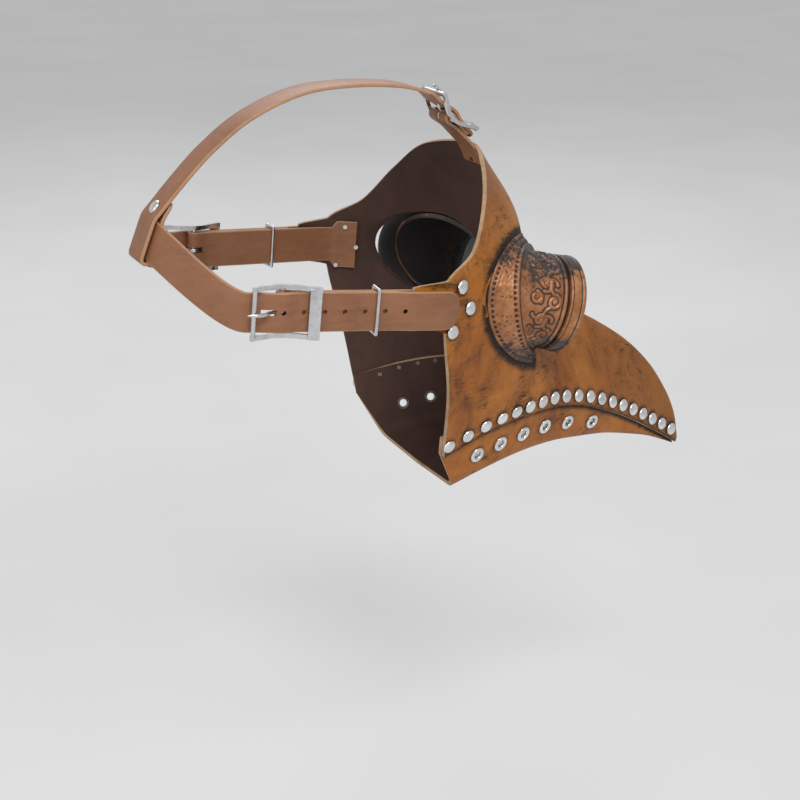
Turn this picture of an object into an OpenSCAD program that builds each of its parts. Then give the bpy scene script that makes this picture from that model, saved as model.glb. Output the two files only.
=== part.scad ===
// Plague doctor mask: a moulded face shell with a long curved beak, a jaw panel riveted under it,
// two round eyepieces, and a harness of leather straps with three centre-bar buckles.
// +X is forward along the beak, +Y is the wearer's left, +Z is up.
// The origin is the middle of the wearer's head, level with the side straps.

/* [Shell] */
// Thickness of the moulded face shell
shell_t = 2.2; // [1.8:0.1:2.6]
// Thickness of the jaw panel
jaw_t = 2; // [1.6:0.1:2.4]
// Steps along the beak in the shell's mesh
shell_rows = 36; // [30:2:40]

/* [Eyepieces] */
// Outer radius of the front ring
bezel_r = 26.5; // [26:0.1:27]
// Radius of the open front of the ring
bezel_mouth_r = 21; // [20:0.5:21.5]
// Length of the front ring
bezel_len = 9.5; // [9:0.5:10]
// Angle that the eyepieces point down
eye_pitch = 14.5; // [12:0.5:16]
// Angle that each eyepiece points outwards
eye_splay = 4; // [3:0.5:5]

/* [Straps] */
// Width of every strap
strap_w = 20; // [19:0.5:20.5]
// Thickness of the strap leather
strap_t = 1.8; // [1.6:0.1:1.8]
// Diameter of the punched holes
hole_d = 2.6; // [2:0.2:3]
// Distance between punched holes
hole_pitch = 10.5; // [10:0.5:11]

/* [Buckles] */
// Radius of the centre bar
bar_r = 1.5; // [1.3:0.1:1.5]
// Distance from the centre bar to each end bar on the side buckles
side_half = 15.3; // [15:0.1:16]
// Distance from the centre bar to each end bar on the crown buckle
top_half = 12.5; // [12:0.1:13]
// Radius of the keeper's wire
keeper_r = 0.9; // [0.8:0.1:1]

/* [Rivets] */
// Radius of the dome rivets
rivet_r = 3.8; // [3.5:0.1:4]
// Height of the domes
rivet_h = 1.7; // [1.4:0.1:2]
// Rivets along each side of the beak
jaw_rivets = 19; // [15:1:19]
// Outer radius of the eyelets
eyelet_r = 4.5; // [4:0.1:4.6]
// Radius of the hole through each eyelet
eyelet_hole_r = 2.2; // [2:0.1:2.4]

/* [Hidden] */

// Rear edge of the shell on the left half, from the forehead down to the jaw corner
rear_edge = [
  [88.5, 0, 67], [77.5, 34, 62], [67.5, 54, 45.5], [54, 68, 25.5],
  [33.5, 77, 12], [34, 75.5, -16], [40, 68.5, -50], [43.5, 56.5, -89.5]
];
// Cross-sections from face to beak tip: ridge x and z, lower edge x, y and z,
// fullness of the curve between them, hollow behind the ridge, and outward bulge
sections = [
  [101, 43, 73, 52, -81.5, 2.05, 16, 20.5],
  [109.5, 16, 101, 45, -79, 1.95, 12, 13.5],
  [124.5, -11, 126, 37, -80.2, 1.65, 6, 4],
  [148, -31, 150, 29.3, -86.3, 1.45, 1, 1],
  [172, -45, 173, 21.5, -96, 1.4, 0, 0],
  [194, -60, 194, 14.3, -107, 1.4, 0, 0],
  [212, -77.5, 211, 8.6, -117.3, 1.4, 0, 0],
  [225.5, -97, 224, 4.6, -125.5, 1.45, 0, 0],
  [233, -113, 232, 2.6, -130.8, 1.6, 0, 0],
  [236.4, -129.5, 235.2, 0.6, -132.9, 2, 0, 0]
];
section_count = len(sections);
// Lower corner of the jaw on the left half, one point for each cross-section
jaw_corner = [
  [55, 45, -113.5], [80, 40.5, -108.5], [106, 34, -105.8], [130, 27, -106.3],
  [153, 20, -109.6], [175, 14, -113.3], [195, 9.2, -118.3], [211.5, 5.6, -123.3],
  [224.3, 3.4, -128.6], [232, 2.3, -132.2], [235, 1.2, -134]
];
// Gap between the shell and the jaw panel's hidden flange
lap_gap = 0.3;
// Height of that flange above the lower edge
flange_h = 11;
// Height of the rivet row above the lower edge
rivet_row_h = 6.3;
// Section number, as a fraction of the beak, where the jaw panel ends
jaw_end = 0.9;
// First and last rivet along the beak
rivet_x = [46, 229];
eyelet_count = 6;
// Middle of the left eyepiece's front face
eye_front = [121, 45, -16.8];
// How far behind the front face the skirt's ridge is centred
ridge_back = 19.3;
// Slope of the ridge plane: its normal on the left side
ridge_normal_raw = [0.767, 0.635, 0.085];
ridge_r = 28.5;
skirt_flare = 1.2;
skirt_t = 1.8;
barrel_r = 25.5;
barrel_bore_r = 22.5;
groove_len = 2;
groove_r = 24;
eye_hole_r = 26;
lens_r = 23;
lens_t = 2;
lens_seat = 3;
retainer_len = 3;
// Side harness: the buckle's centre bar, and the strap's slope and inward turn
side_bar = [-51, -65, 7.4];
side_slope = 5.2;
side_turn = 6;
// Crown buckle's centre bar and its slope
top_bar = [70, 0, 82.6];
top_slope = 45.6;
half_t = strap_t / 2;
bar_gap = 0.1;
loop_r = bar_r + bar_gap + strap_t;
rail_w = 2.4;
rail_t = 2.2;
rail_y = strap_w / 2 + 1 + rail_w / 2;
// Where the keeper sits and the fold ends, measured from the centre bar
keeper_s = 48;
fold_end = 60;
hole_count = 7;
prong_w = 2.2;
prong_t = 1.6;
slot_len = 7.9;
slot_w = 3.2;
// Back of the head: the harness's rearmost point and how far the strap leans there
back_mid = [-96.8, 0, 34.6];
back_lean = 22;
rivet_shank_r = 1.3;

function unit(v) = v / norm(v);
function lerp(a, b, t) = a + (b - a) * t;
function flip(p) = [p[0], -p[1], p[2]];
// Smooth curve through the points of a list, with t from 0 to 1
function spline(p, t, before, after) =
  let (
    n = len(p) - 1,
    x = min(max(t, 0), 1) * n,
    i = min(floor(x), n - 1),
    f = x - i,
    a = i > 0 ? p[i - 1] : (is_undef(before) ? 2 * p[0] - p[1] : before),
    d = i < n - 1 ? p[i + 2] : (is_undef(after) ? 2 * p[n] - p[n - 1] : after)
  )
  0.5 * (2 * p[i] + (p[i + 1] - a) * f + (2 * a - 5 * p[i] + 4 * p[i + 1] - d) * f * f
         + (3 * p[i] - a - 3 * p[i + 1] + d) * f * f * f);

// The walls thin out towards the beak's tip
function thin(k) = k <= 6 ? 1 : 1 - 0.14 * (k - 6);
function ridge_point(k) = [sections[k - 1][0], 0, sections[k - 1][1]];
function ridge_inward(k) =
  let (
    a = ridge_point(max(k - 1, 1)),
    b = ridge_point(min(k + 1, section_count)),
    d = unit(b - a)
  )
  [d[2], 0, -d[0]];
function rear_inset(p, g) = p - g * unit([p[0] - 20, p[1], 0.35 * p[2]]);
// Point of section k, with u from the ridge (0) to the lower edge (1), moved g inwards
function section_point(k, u, g) =
  k == 0
  ? let (pts = [for (p = rear_edge) rear_inset(p, g)]) spline(pts, u, flip(pts[1]))
  : let (
      s = sections[k - 1],
      c = ridge_point(k) + g * thin(k) * min(1 + 0.25 * k, 1.9) * ridge_inward(k),
      e = [s[2], s[3], s[4]] - g * thin(k) * [0.3, 0.94, 0.15],
      a = 1 - pow(max(cos(90 * u), 0), 2 / s[5]),
      b = pow(sin(90 * u), 2 / s[5]),
      hollow = s[6] * pow(sin(180 * pow(u, 1.5)), 2),
      bulge = s[7] * sin(180 * u)
    )
    [c[0] + (e[0] - c[0]) * a - hollow, e[1] * b + bulge, c[2] + (e[2] - c[2]) * a];
// Point of the whole surface, with v from the rear edge (0) to the beak's tip (1)
function skin(u, v, g = 0) =
  let (
    x = min(max(v, 0), 1) * section_count,
    i = min(floor(x), section_count - 1),
    f = x - i,
    p = section_point(i, u, g),
    q = section_point(i + 1, u, g),
    a = i > 0 ? section_point(i - 1, u, g) : 2 * p - q,
    d = i < section_count - 1 ? section_point(i + 2, u, g) : 2 * q - p
  )
  0.5 * (2 * p + (q - a) * f + (2 * a - 5 * p + 4 * q - d) * f * f
         + (3 * p - a - 3 * q + d) * f * f * f);
// Outward normal on the left half
function skin_normal(u, v) =
  let (
    e = 0.004,
    du = skin(min(u + e, 1), v) - skin(max(u - e, 0), v),
    dv = skin(u, min(v + e, 1)) - skin(u, max(v - e, 0)),
    n = unit(cross(du, dv))
  )
  n[1] < 0 ? -n : n;
// Value of v where the lower edge reaches x
function v_at(x, lo = 0, hi = 1, n = 16) =
  let (m = (lo + hi) / 2)
  n == 0 ? m : (skin(1, m)[0] < x ? v_at(x, m, hi, n - 1) : v_at(x, lo, m, n - 1));
// Value of u that lies h above the lower edge
function u_above(v, h, lo = 0.4, hi = 1, n = 14) =
  let (m = (lo + hi) / 2)
  n == 0 ? m : (norm(skin(m, v) - skin(1, v)) > h ? u_above(v, h, m, hi, n - 1) : u_above(v, h, lo, m, n - 1));
// Newton steps to the u, v whose skin point lies on the line through q along cross(a, b)
function find_uv(q, a, b, uv, n = 9) =
  n == 0 ? uv :
  let (
    e = 0.001,
    p = skin(uv[0], uv[1]),
    pu = (skin(uv[0] + e, uv[1]) - p) / e,
    pv = (skin(uv[0], uv[1] + e) - p) / e,
    m11 = pu * a, m12 = pv * a, m21 = pu * b, m22 = pv * b,
    r1 = (q - p) * a,
    r2 = (q - p) * b,
    det = m11 * m22 - m12 * m21,
    du = max(min((r1 * m22 - r2 * m12) / det, 0.15), -0.15),
    dv = max(min((m11 * r2 - m21 * r1) / det, 0.15), -0.15)
  )
  find_uv(q, a, b, [min(max(uv[0] + du, 0.01), 0.985), min(max(uv[1] + dv, 0.01), 0.985)], n - 1);

// Closed solid between two grids of points, each a list of equally long rows
module sheet_solid(outer, inner) {
  rows = len(outer);
  cols = len(outer[0]);
  size = rows * cols;
  points = concat([for (r = outer) for (p = r) p], [for (r = inner) for (p = r) p]);
  top = [for (j = [0:rows - 2]) for (i = [0:cols - 2])
    let (a = j * cols + i, b = a + 1, c = a + cols + 1, d = a + cols)
    each [[a, c, b], [a, d, c]]];
  bottom = [for (f = top) [f[0] + size, f[2] + size, f[1] + size]];
  loop = concat(
    [for (i = [0:cols - 1]) i],
    [for (j = [1:rows - 1]) j * cols + cols - 1],
    [for (i = [cols - 2:-1:0]) (rows - 1) * cols + i],
    [for (j = [rows - 2:-1:1]) j * cols]
  );
  edge = [for (i = [0:len(loop) - 1])
    let (a = loop[i], b = loop[(i + 1) % len(loop)])
    each [[a, b, b + size], [a, b + size, a + size]]];
  polyhedron(points = points, faces = concat(top, bottom, edge), convexity = 8);
}

// Closed tube of rings, where each ring is a list of equally many points
module ring_solid(rings) {
  n = len(rings[0]);
  m = len(rings);
  points = [for (r = rings) for (p = r) p];
  faces = [for (j = [0:m - 1]) for (i = [0:n - 1])
    let (a = j * n + i, b = j * n + (i + 1) % n, k = (j + 1) % m, c = k * n + (i + 1) % n, d = k * n + i)
    each [[a, b, c], [a, c, d]]];
  polyhedron(points = points, faces = faces, convexity = 6);
}

// Outline of a ribbon of thickness t along a path in the plane
function ribbon(path, t) =
  let (
    n = len(path) - 1,
    side = [for (i = [0:n])
      let (d = unit(path[min(i + 1, n)] - path[max(i - 1, 0)]))
      [-d[1], d[0]] * t / 2]
  )
  concat([for (i = [0:n]) path[i] + side[i]], [for (i = [n:-1:0]) path[i] - side[i]]);
function smooth_path(p, steps) = [for (i = [0:steps]) spline(p, i / steps)];

// Turns +Z to point along n, at p
module aim(p, n) {
  translate(p)
    rotate([0, acos(n[2]), atan2(n[1], n[0])])
      children();
}

module mirror_left() {
  mirror([0, 1, 0])
    children();
}

// ---------- shell and jaw ----------

// Steps from the ridge to the lower edge, closer together beside the tab
shell_steps = [
  0, 0.06, 0.12, 0.18, 0.24, 0.3, 0.36, 0.42, 0.48, 0.53, 0.55, 0.566, 0.582,
  0.62, 0.65, 0.678, 0.692, 0.706, 0.75, 0.81, 0.87, 0.94, 1
];
// How far the tab reaches back between the two layers of the side strap
tab_reach = 17;
function tab_shift(u, t) =
  tab_reach * (ease(u, 0.55, 0.582) - ease(u, 0.678, 0.706)) * pow(max(1 - t / 0.04, 0), 2)
  * flip(side_dir(-1, 0, 0));
function shell_row(t, v, g) =
  let (half = [for (u = shell_steps) skin(u, v, g) + tab_shift(u, t)], n = len(half) - 1)
  concat([for (i = [n:-1:0]) flip(half[i])], [for (i = [1:n]) half[i]]);

module face_shell() {
  outer = [for (j = [0:shell_rows]) let (t = j / shell_rows) shell_row(t, t, 0)];
  inner = [for (j = [0:shell_rows]) let (t = j / shell_rows) shell_row(t, 0.94 * t, shell_t)];
  color("peru")
    difference() {
      sheet_solid(outer, inner);
      eye_place()
        translate([0, 0, -120])
          cylinder(r = eye_hole_r, h = 120, $fn = 64);
      mirror_left()
        eye_place()
          translate([0, 0, -120])
            cylinder(r = eye_hole_r, h = 120, $fn = 64);
    }
}

// Hidden flange, wall, rounded lower corner and floor of the jaw, set in by g.
// w runs from the flange's top (0) to the middle of the floor (1).
function jaw_point(w, v, g) =
  let (
    k = v * section_count,
    f = thin(k),
    inset = shell_t + lap_gap + g,
    top = skin(1, v, inset),
    low = spline(jaw_corner, v) + [0, -g * f, g * f],
    mid = [low[0], 0, low[2] - 1.2 * f],
    r = 6 * min(1, low[1] / 14),
    p = low + r * unit(top - low),
    q = low + r * unit(mid - low)
  )
  w < 0.25 ? skin(lerp(u_above(v, flange_h * (1 - 0.35 * v)), 1, w * 4), v, inset)
  : w < 0.5 ? lerp(top, p, (w - 0.25) * 4)
  : w < 0.75 ? let (t = (w - 0.5) * 4) (1 - t) * (1 - t) * p + 2 * t * (1 - t) * low + t * t * q
  : lerp(q, mid, (w - 0.75) * 4);

jaw_rows = 30;
jaw_steps = [0, 0.125, 0.25, 0.375, 0.5, 0.5625, 0.625, 0.6875, 0.75, 0.875, 1];

function jaw_grid(g, last) = [for (j = [0:jaw_rows])
  let (v = last * j / jaw_rows, half = [for (w = jaw_steps) jaw_point(w, v, g)], n = len(half) - 1)
  concat([for (p = half) flip(p)], [for (i = [n - 1:-1:0]) half[i]])];

function eyelet_v(i) = 0.075 + 0.06 * i + 0.0005 * pow(i, 3);
function eyelet_at(i) = lerp(skin(1, eyelet_v(i), shell_t + lap_gap), spline(jaw_corner, eyelet_v(i)), 0.48);
function eyelet_n(i) =
  let (
    v = eyelet_v(i),
    a = spline(jaw_corner, v) - skin(1, v, shell_t + lap_gap),
    b = spline(jaw_corner, v + 0.01) - spline(jaw_corner, v - 0.01),
    n = unit(cross(a, b))
  )
  n[1] < 0 ? -n : n;

module jaw_panel() {
  color("saddlebrown")
    difference() {
      sheet_solid(jaw_grid(0, jaw_end), jaw_grid(jaw_t, jaw_end - 0.06));
      for (i = [0:eyelet_count - 1]) {
        aim(eyelet_at(i), eyelet_n(i))
          cylinder(r = eyelet_hole_r + 0.75, h = 12, center = true, $fn = 32);
        mirror_left()
          aim(eyelet_at(i), eyelet_n(i))
            cylinder(r = eyelet_hole_r + 0.75, h = 12, center = true, $fn = 32);
      }
    }
}

// ---------- rivets ----------

// Dome with a shank of the given length below its flat underside
module rivet(shank, r = rivet_r) {
  steps = 6;
  dome = [for (i = [0:steps]) [r * cos(90 * i / steps), rivet_h * sin(90 * i / steps)]];
  rotate_extrude($fn = 40)
    polygon(concat([[0, -shank], [rivet_shank_r, -shank], [rivet_shank_r, 0], [r, 0]],
                   [for (i = [1:steps - 1]) dome[i]], [[0, rivet_h]]));
}

function rivet_v(i) =
  let (t = i / (jaw_rivets - 1))
  v_at(lerp(rivet_x[0], rivet_x[1], 1.14 * t - 0.14 * t * t));

module jaw_rivets_left() {
  color("silver")
    for (i = [0:jaw_rivets - 1]) {
      v = rivet_v(i);
      u = u_above(v, rivet_row_h);
      p = skin(u, v);
      n = skin_normal(u, v);
      reach = (shell_t + lap_gap + jaw_t) * thin(v * section_count) + 0.6;
      aim(p + 0.25 * n, n)
        rivet(min(reach, p[1] - 0.35));
    }
}

module jaw_rivets_right() {
  mirror_left()
    jaw_rivets_left();
}

module jaw_eyelets_left() {
  color("silver")
    for (i = [0:eyelet_count - 1])
      aim(eyelet_at(i), eyelet_n(i))
        rotate_extrude($fn = 40)
          polygon([
            [eyelet_hole_r, -jaw_t - 0.5], [eyelet_r - 0.9, -jaw_t - 0.5], [eyelet_r - 0.9, -jaw_t - 0.1],
            [eyelet_hole_r + 0.65, -jaw_t - 0.1], [eyelet_hole_r + 0.65, 0.1], [eyelet_r, 0.1],
            [eyelet_r - 0.4, 0.6], [eyelet_r - 1.2, 0.95], [eyelet_hole_r + 0.6, 0.85], [eyelet_hole_r, 0.4]
          ]);
}

module jaw_eyelets_right() {
  mirror_left()
    jaw_eyelets_left();
}

side_rivet_xz = [[44.5, 9.4], [50.2, -3], [38.4, -13.3]];

module side_rivets_left() {
  color("silver")
    for (q = side_rivet_xz) {
      uv = find_uv([q[0], 0, q[1]], [1, 0, 0], [0, 0, 1], [0.62, 0.05]);
      n = skin_normal(uv[0], uv[1]);
      aim(skin(uv[0], uv[1]) + 0.15 * n, n)
        rivet(5.4);
    }
}

module side_rivets_right() {
  mirror_left()
    side_rivets_left();
}

module forehead_rivet() {
  v = 0.03;
  n = skin_normal(0.0001, v);
  color("dimgray")
    aim(skin(0, v) + [0.1, 0, 0.06], unit([n[0], 0, n[2]]))
      rivet(5.4);
}

module loop_rivet() {
  n = [-0.78, 0, 0.62];
  color("gainsboro")
    aim([-90.9, 0, 48.7] + 1.1 * n, n)
      rivet(5);
}

// ---------- eyepieces ----------

// Puts the left eyepiece's axis on +Z, with the front face at 0
module eye_place() {
  translate(eye_front)
    rotate([0, 90 + eye_pitch, eye_splay])
      children();
}

eye_axis = [cos(eye_pitch) * cos(eye_splay), cos(eye_pitch) * sin(eye_splay), -sin(eye_pitch)];
ridge_n = unit(ridge_normal_raw);
ridge_mid = eye_front - ridge_back * eye_axis - [0, 0, 1.5];
eye_e1 = unit([-eye_axis[1], eye_axis[0], 0]);
eye_e2 = cross(eye_axis, eye_e1);

function ridge_at(a, r) =
  let (
    p = eye_front + r * (cos(a) * eye_e1 + sin(a) * eye_e2)
  )
  p + ((ridge_mid - p) * ridge_n) / (eye_axis * ridge_n) * eye_axis;
function face_uv(q) = find_uv(q, unit(cross(ridge_n, [0, 0, 1])), unit(cross(ridge_n, [0, 1, 0])), [0.5, 0.2]);

// A skirt point kept behind the front ring and clear of its opening, where the skirt runs into the beak
function held(p, r_min, z_max) =
  let (
    q = p - eye_front,
    z = q * eye_axis,
    d = q - z * eye_axis,
    k = min(max(1 + (z - z_max) / 4, 0), 1)
  )
  eye_front + max(norm(d), r_min * k) / norm(d) * d + min(z, z_max) * eye_axis;

// One cross-section of the skirt at angle a: top outer, top inner, foot inner, foot outer
function skirt_ring(a) =
  let (
    stop = -bezel_len - 1.2,
    top = ridge_at(a, ridge_r),
    inner = ridge_at(a, barrel_r - 0.1),
    out = ridge_mid + skirt_flare * (top - ridge_mid),
    uv = face_uv(out),
    foot = skin(uv[0], uv[1]),
    rise = max(0, (foot - top) * ridge_n + 2.5),
    radial = unit(out - ridge_mid),
    near = face_uv(out - skirt_t * 1.5 * radial),
    foot_in = skin(near[0], near[1]),
    bed = 0.35 * skin_normal(uv[0], uv[1])
  )
  [held(top + rise * ridge_n, ridge_r, stop), held(inner + rise * ridge_n, barrel_r - 0.1, stop),
   held(inner + (rise - 2.2) * ridge_n, barrel_r - 0.1, stop - 2.2), held(foot_in - bed, ridge_r + 0.1, stop - 1.9),
   held(foot - bed, ridge_r + 2.9, stop - 1.2), held(foot + 0.5 * bed, ridge_r + 3.1, stop - 0.2)];

module eye_skirt_left() {
  steps = 44;
  color("sienna")
    ring_solid([for (i = [0:steps - 1]) skirt_ring(360 * i / steps)]);
}

module eye_skirt_right() {
  mirror_left()
    eye_skirt_left();
}

module eye_barrel_left() {
  back = -60;
  color("peru")
    difference() {
      eye_place()
        rotate_extrude($fn = 72)
          polygon([
            [barrel_bore_r, back], [barrel_r, back], [barrel_r, -14], [barrel_r + 0.4, -13.3],
            [barrel_r + 0.4, -12.3], [groove_r, -11.3], [groove_r, -bezel_len], [lens_r + 0.2, -bezel_len],
            [lens_r + 0.2, -bezel_len + 0.8], [barrel_bore_r, -bezel_len + 0.8]
          ]);
      aim(ridge_mid - 6 * ridge_n, ridge_n)
        translate([-60, -60, -80])
          cube([120, 120, 80]);
    }
}

module eye_barrel_right() {
  mirror_left()
    eye_barrel_left();
}

module eye_bezel_left() {
  color("sandybrown")
    eye_place()
      rotate_extrude($fn = 72)
        polygon([
          [bezel_mouth_r, 0], [bezel_r - 1.5, 0], [bezel_r - 0.4, -0.5], [bezel_r, -1.4],
          [bezel_r, -2.6], [bezel_r - 0.5, -3.2], [bezel_r - 0.5, -8.6], [bezel_r - 1.2, -bezel_len],
          [lens_r + 0.2, -bezel_len], [lens_r + 0.2, -lens_seat], [bezel_mouth_r, -lens_seat]
        ]);
}

module eye_bezel_right() {
  mirror_left()
    eye_bezel_left();
}

module lens_left() {
  color("slategray")
    eye_place()
      translate([0, 0, -lens_seat - lens_t])
        cylinder(r = lens_r, h = lens_t, $fn = 72);
}

module lens_right() {
  mirror_left()
    lens_left();
}

module lens_retainer_left() {
  front = -lens_seat - lens_t;
  color("dimgray")
    eye_place()
      rotate_extrude($fn = 72)
        polygon([
          [bezel_mouth_r, front - retainer_len], [lens_r + 0.15, front - retainer_len],
          [lens_r + 0.15, front], [bezel_mouth_r, front]
        ]);
}

module lens_retainer_right() {
  mirror_left()
    lens_retainer_left();
}

// ---------- straps ----------

// Puts the right side buckle's centre bar on the local Z axis: +X forward, -Y outward
module side_place() {
  translate(side_bar)
    rotate([0, 0, -side_turn])
      rotate([0, side_slope, 0])
        children();
}

// The same for the crown buckle: +X down the forehead, -Y outward
module top_place() {
  translate(top_bar)
    rotate([0, top_slope, 0])
      rotate([-90, 0, 0])
        children();
}

function ease(x, a, b) = let (t = min(max((x - a) / (b - a), 0), 1)) t * t * (3 - 2 * t);
// Height of the tail's middle outside the centre bar, s forward of it
function weave(s, half) =
  s > 0 ? 2.9 + 1.7 * (1 - ease(s, 0, 8)) : 4.6 - 2.2 * ease(-s, 0, half - 1.3);
function side_tail(s) = weave(s, side_half) + 1.1 * ease(s, 56.5, 66) - 2.3 * ease(s, 83, 95);
// Direction in the side buckle's frame turned into the part's frame
function side_dir(s, n, t) =
  let (
    x = s * cos(side_slope) + t * sin(side_slope),
    z = -s * sin(side_slope) + t * cos(side_slope)
  )
  [x * cos(side_turn) - n * sin(side_turn), -x * sin(side_turn) - n * cos(side_turn), z];
function side_point(s, n, t) = side_bar + side_dir(s, n, t);
function strap_ring(p, across, out, half_w) = [
  p + half_w * across + half_t * out, p + half_w * across - half_t * out,
  p - half_w * across - half_t * out, p - half_w * across + half_t * out
];
function tail_half_w(s) = strap_w / 2 * pow(max(1 - pow(max(s - 84, 0) / 8.9, 2.2), 0.02), 1 / 2.2);
function tail_ring(s) =
  let (
    slope = (side_tail(s + 0.5) - side_tail(s - 0.5)),
    out = unit(side_dir(-slope, 1, 0))
  )
  strap_ring(side_point(s, side_tail(s), 0), side_dir(0, 0, 1), out, tail_half_w(s));

tail_stops = concat([92.4, 91.9, 91, 89.5, 87.5, 85, 82, 78, 72, 66, 60, 45, 30, 15], [for (s = [9:-2:-15]) s]);
tail_end = -17.5;
back_steps = 14;
back_pull = [40, 62];

// Point of the strap behind the head, with t from the buckle (0) to the middle (1)
function back_point(t) =
  let (
    a = side_point(tail_end, side_tail(tail_end), 0),
    da = side_dir(-back_pull[0], 0, 0),
    db = [0, back_pull[1], 0]
  )
  (2 * pow(t, 3) - 3 * t * t + 1) * a + (pow(t, 3) - 2 * t * t + t) * da
  + (3 * t * t - 2 * pow(t, 3)) * back_mid + (pow(t, 3) - t * t) * db;
function back_ring(t) =
  let (
    run = t < 1 ? unit(back_point(t + 0.001) - back_point(t - 0.001)) : [0, 1, 0],
    lean = lerp(side_dir(0, 0, 1), [sin(back_lean), 0, cos(back_lean)], ease(t, 0, 1)),
    across = unit(lean - (lean * run) * run)
  )
  strap_ring(back_point(t), across, cross(across, run), strap_w / 2);

// Closed bar through a list of four-point rings, with a cap at each end
module bar_solid(rings) {
  m = len(rings);
  points = [for (r = rings) for (p = r) p];
  side = [for (j = [0:m - 2]) for (i = [0:3])
    let (a = 4 * j + i, b = 4 * j + (i + 1) % 4)
    each [[a, b, b + 4], [a, b + 4, a + 4]]];
  e = 4 * (m - 1);
  polyhedron(points = points, convexity = 8,
             faces = concat(side, [[3, 2, 1], [3, 1, 0], [e, e + 1, e + 2], [e, e + 2, e + 3]]));
}

module tail_holes() {
  for (i = [0:hole_count - 1])
    translate([i * hole_pitch, -4, 0])
      rotate([90, 0, 0])
        cylinder(d = hole_d, h = 9, center = true, $fn = 24);
  prong_slot();
}

module prong_slot() {
  translate([-3.4 - slot_len, -6, -slot_w / 2])
    cube([slot_len, 6, slot_w]);
}

module back_strap() {
  right = concat([for (s = tail_stops) tail_ring(s)], [for (i = [0:back_steps]) back_ring(i / back_steps)]);
  n = len(right) - 1;
  left = [for (i = [n - 1:-1:0]) [for (p = right[i]) flip(p)]];
  color("peru")
    difference() {
      bar_solid(concat(right, left));
      side_place()
        tail_holes();
      mirror_left()
        side_place()
          tail_holes();
    }
}

// Extrudes an outline drawn as [s, n] across the width of a strap
module across(outline, width) {
  linear_extrude(height = width, center = true)
    polygon([for (p = outline) [p[0], -p[1]]]);
}

function top_point(s, n) = [
  top_bar[0] + s * cos(top_slope) + n * sin(top_slope),
  top_bar[2] - s * sin(top_slope) + n * cos(top_slope)
];
// Point beside the back strap's middle: a up its width, b outwards
function back_side(a, b) = [
  back_mid[0] + a * sin(back_lean) - b * cos(back_lean),
  back_mid[2] + a * cos(back_lean) + b * sin(back_lean)
];
crown_tip = 19;
crown_tail = concat([for (s = [crown_tip, 14, 9]) top_point(s, weave(s, top_half))],
                    [for (s = [7:-2:-13]) top_point(s, weave(s, top_half))]);
crown_over = [
  top_point(-16.5, 2.4), [41, 101.4], [13, 103.5], [-14.5, 101.3], [-42, 91], [-63, 76.5], [-79, 61.5],
  back_side(14.5, 0.3)
];
crown_loop = concat(
  [back_side(12, 1.4), back_side(9.5, 2.2), back_side(5, 2.25), back_side(-5, 2.25), back_side(-10.4, 2.25)],
  [for (a = [30:30:150]) back_side(-10.4 - 2.25 * sin(a), 2.25 * cos(a))],
  [back_side(-10.4, -2.25), back_side(0, -2.25), back_side(8, -2.1), back_side(12, -2.2),
   back_side(16.5, -3.1), back_side(20.5, -4.5)]
);

module crown_strap() {
  path = concat(crown_tail, smooth_path(crown_over, 30), crown_loop);
  color("peru")
    difference() {
      rotate([90, 0, 0])
        linear_extrude(height = strap_w, center = true)
          polygon(ribbon(path, strap_t));
      top_place()
        for (s = [0, hole_pitch])
          translate([s, -4, 0])
            rotate([90, 0, 0])
              cylinder(d = hole_d, h = 9, center = true, $fn = 24);
      top_place()
        prong_slot();
    }
}

// Strap folded round a buckle's centre bar, with its plain end following a path of [s, n] points
module buckle_strap(fold, tail, end_w, end_from) {
  path = smooth_path(tail, 14);
  n = len(path) - 1;
  side = [for (i = [0:n])
    let (d = unit(path[min(i + 1, n)] - path[max(i - 1, 0)]))
    [-d[1], d[0]] * half_t];
  upper = [for (i = [0:n]) path[i] + side[i]];
  lower = [for (i = [n:-1:0]) path[i] - side[i]];
  wide = [for (i = [0:n]) if (path[i][0] >= end_from) i];
  difference() {
    union() {
      cylinder(r = loop_r, h = strap_w, center = true, $fn = 48);
      across(concat([[0, loop_r - 0.3], [9, strap_t], [fold, strap_t], [fold, 0]], upper, lower,
                    [[9, -strap_t], [0, -loop_r + 0.3]]), strap_w);
      across(concat([for (i = wide) path[i] + side[i]],
                    [for (i = [len(wide) - 1:-1:0]) path[wide[i]] - side[wide[i]]]), end_w);
    }
    cylinder(r = bar_r + bar_gap, h = strap_w + 2, center = true, $fn = 48);
    translate([-5, -5, -prong_w / 2 - 0.7])
      cube([10, 10, prong_w + 1.4]);
  }
}

side_anchor = [
  [fold_end + 1, -0.9], [68, -0.9], [75, -0.9], [80, -1.1], [85, -1.8], [90, -3.4], [95, -5.6], [100, -8.1]
];
top_anchor = [[17, -0.9], [19.5, -0.9], [22, -1.05], [25.5, -1.8], [29, -3], [32.5, -4.4]];

module buckle_strap_right() {
  color("sienna")
    side_place()
      buckle_strap(fold_end, side_anchor, 27, 87);
}

module buckle_strap_left() {
  mirror_left()
    buckle_strap_right();
}

module buckle_strap_top() {
  color("sienna")
    top_place()
      buckle_strap(16, top_anchor, strap_w, 20);
}

// ---------- buckles ----------

end_rise = 5.8;

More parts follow.
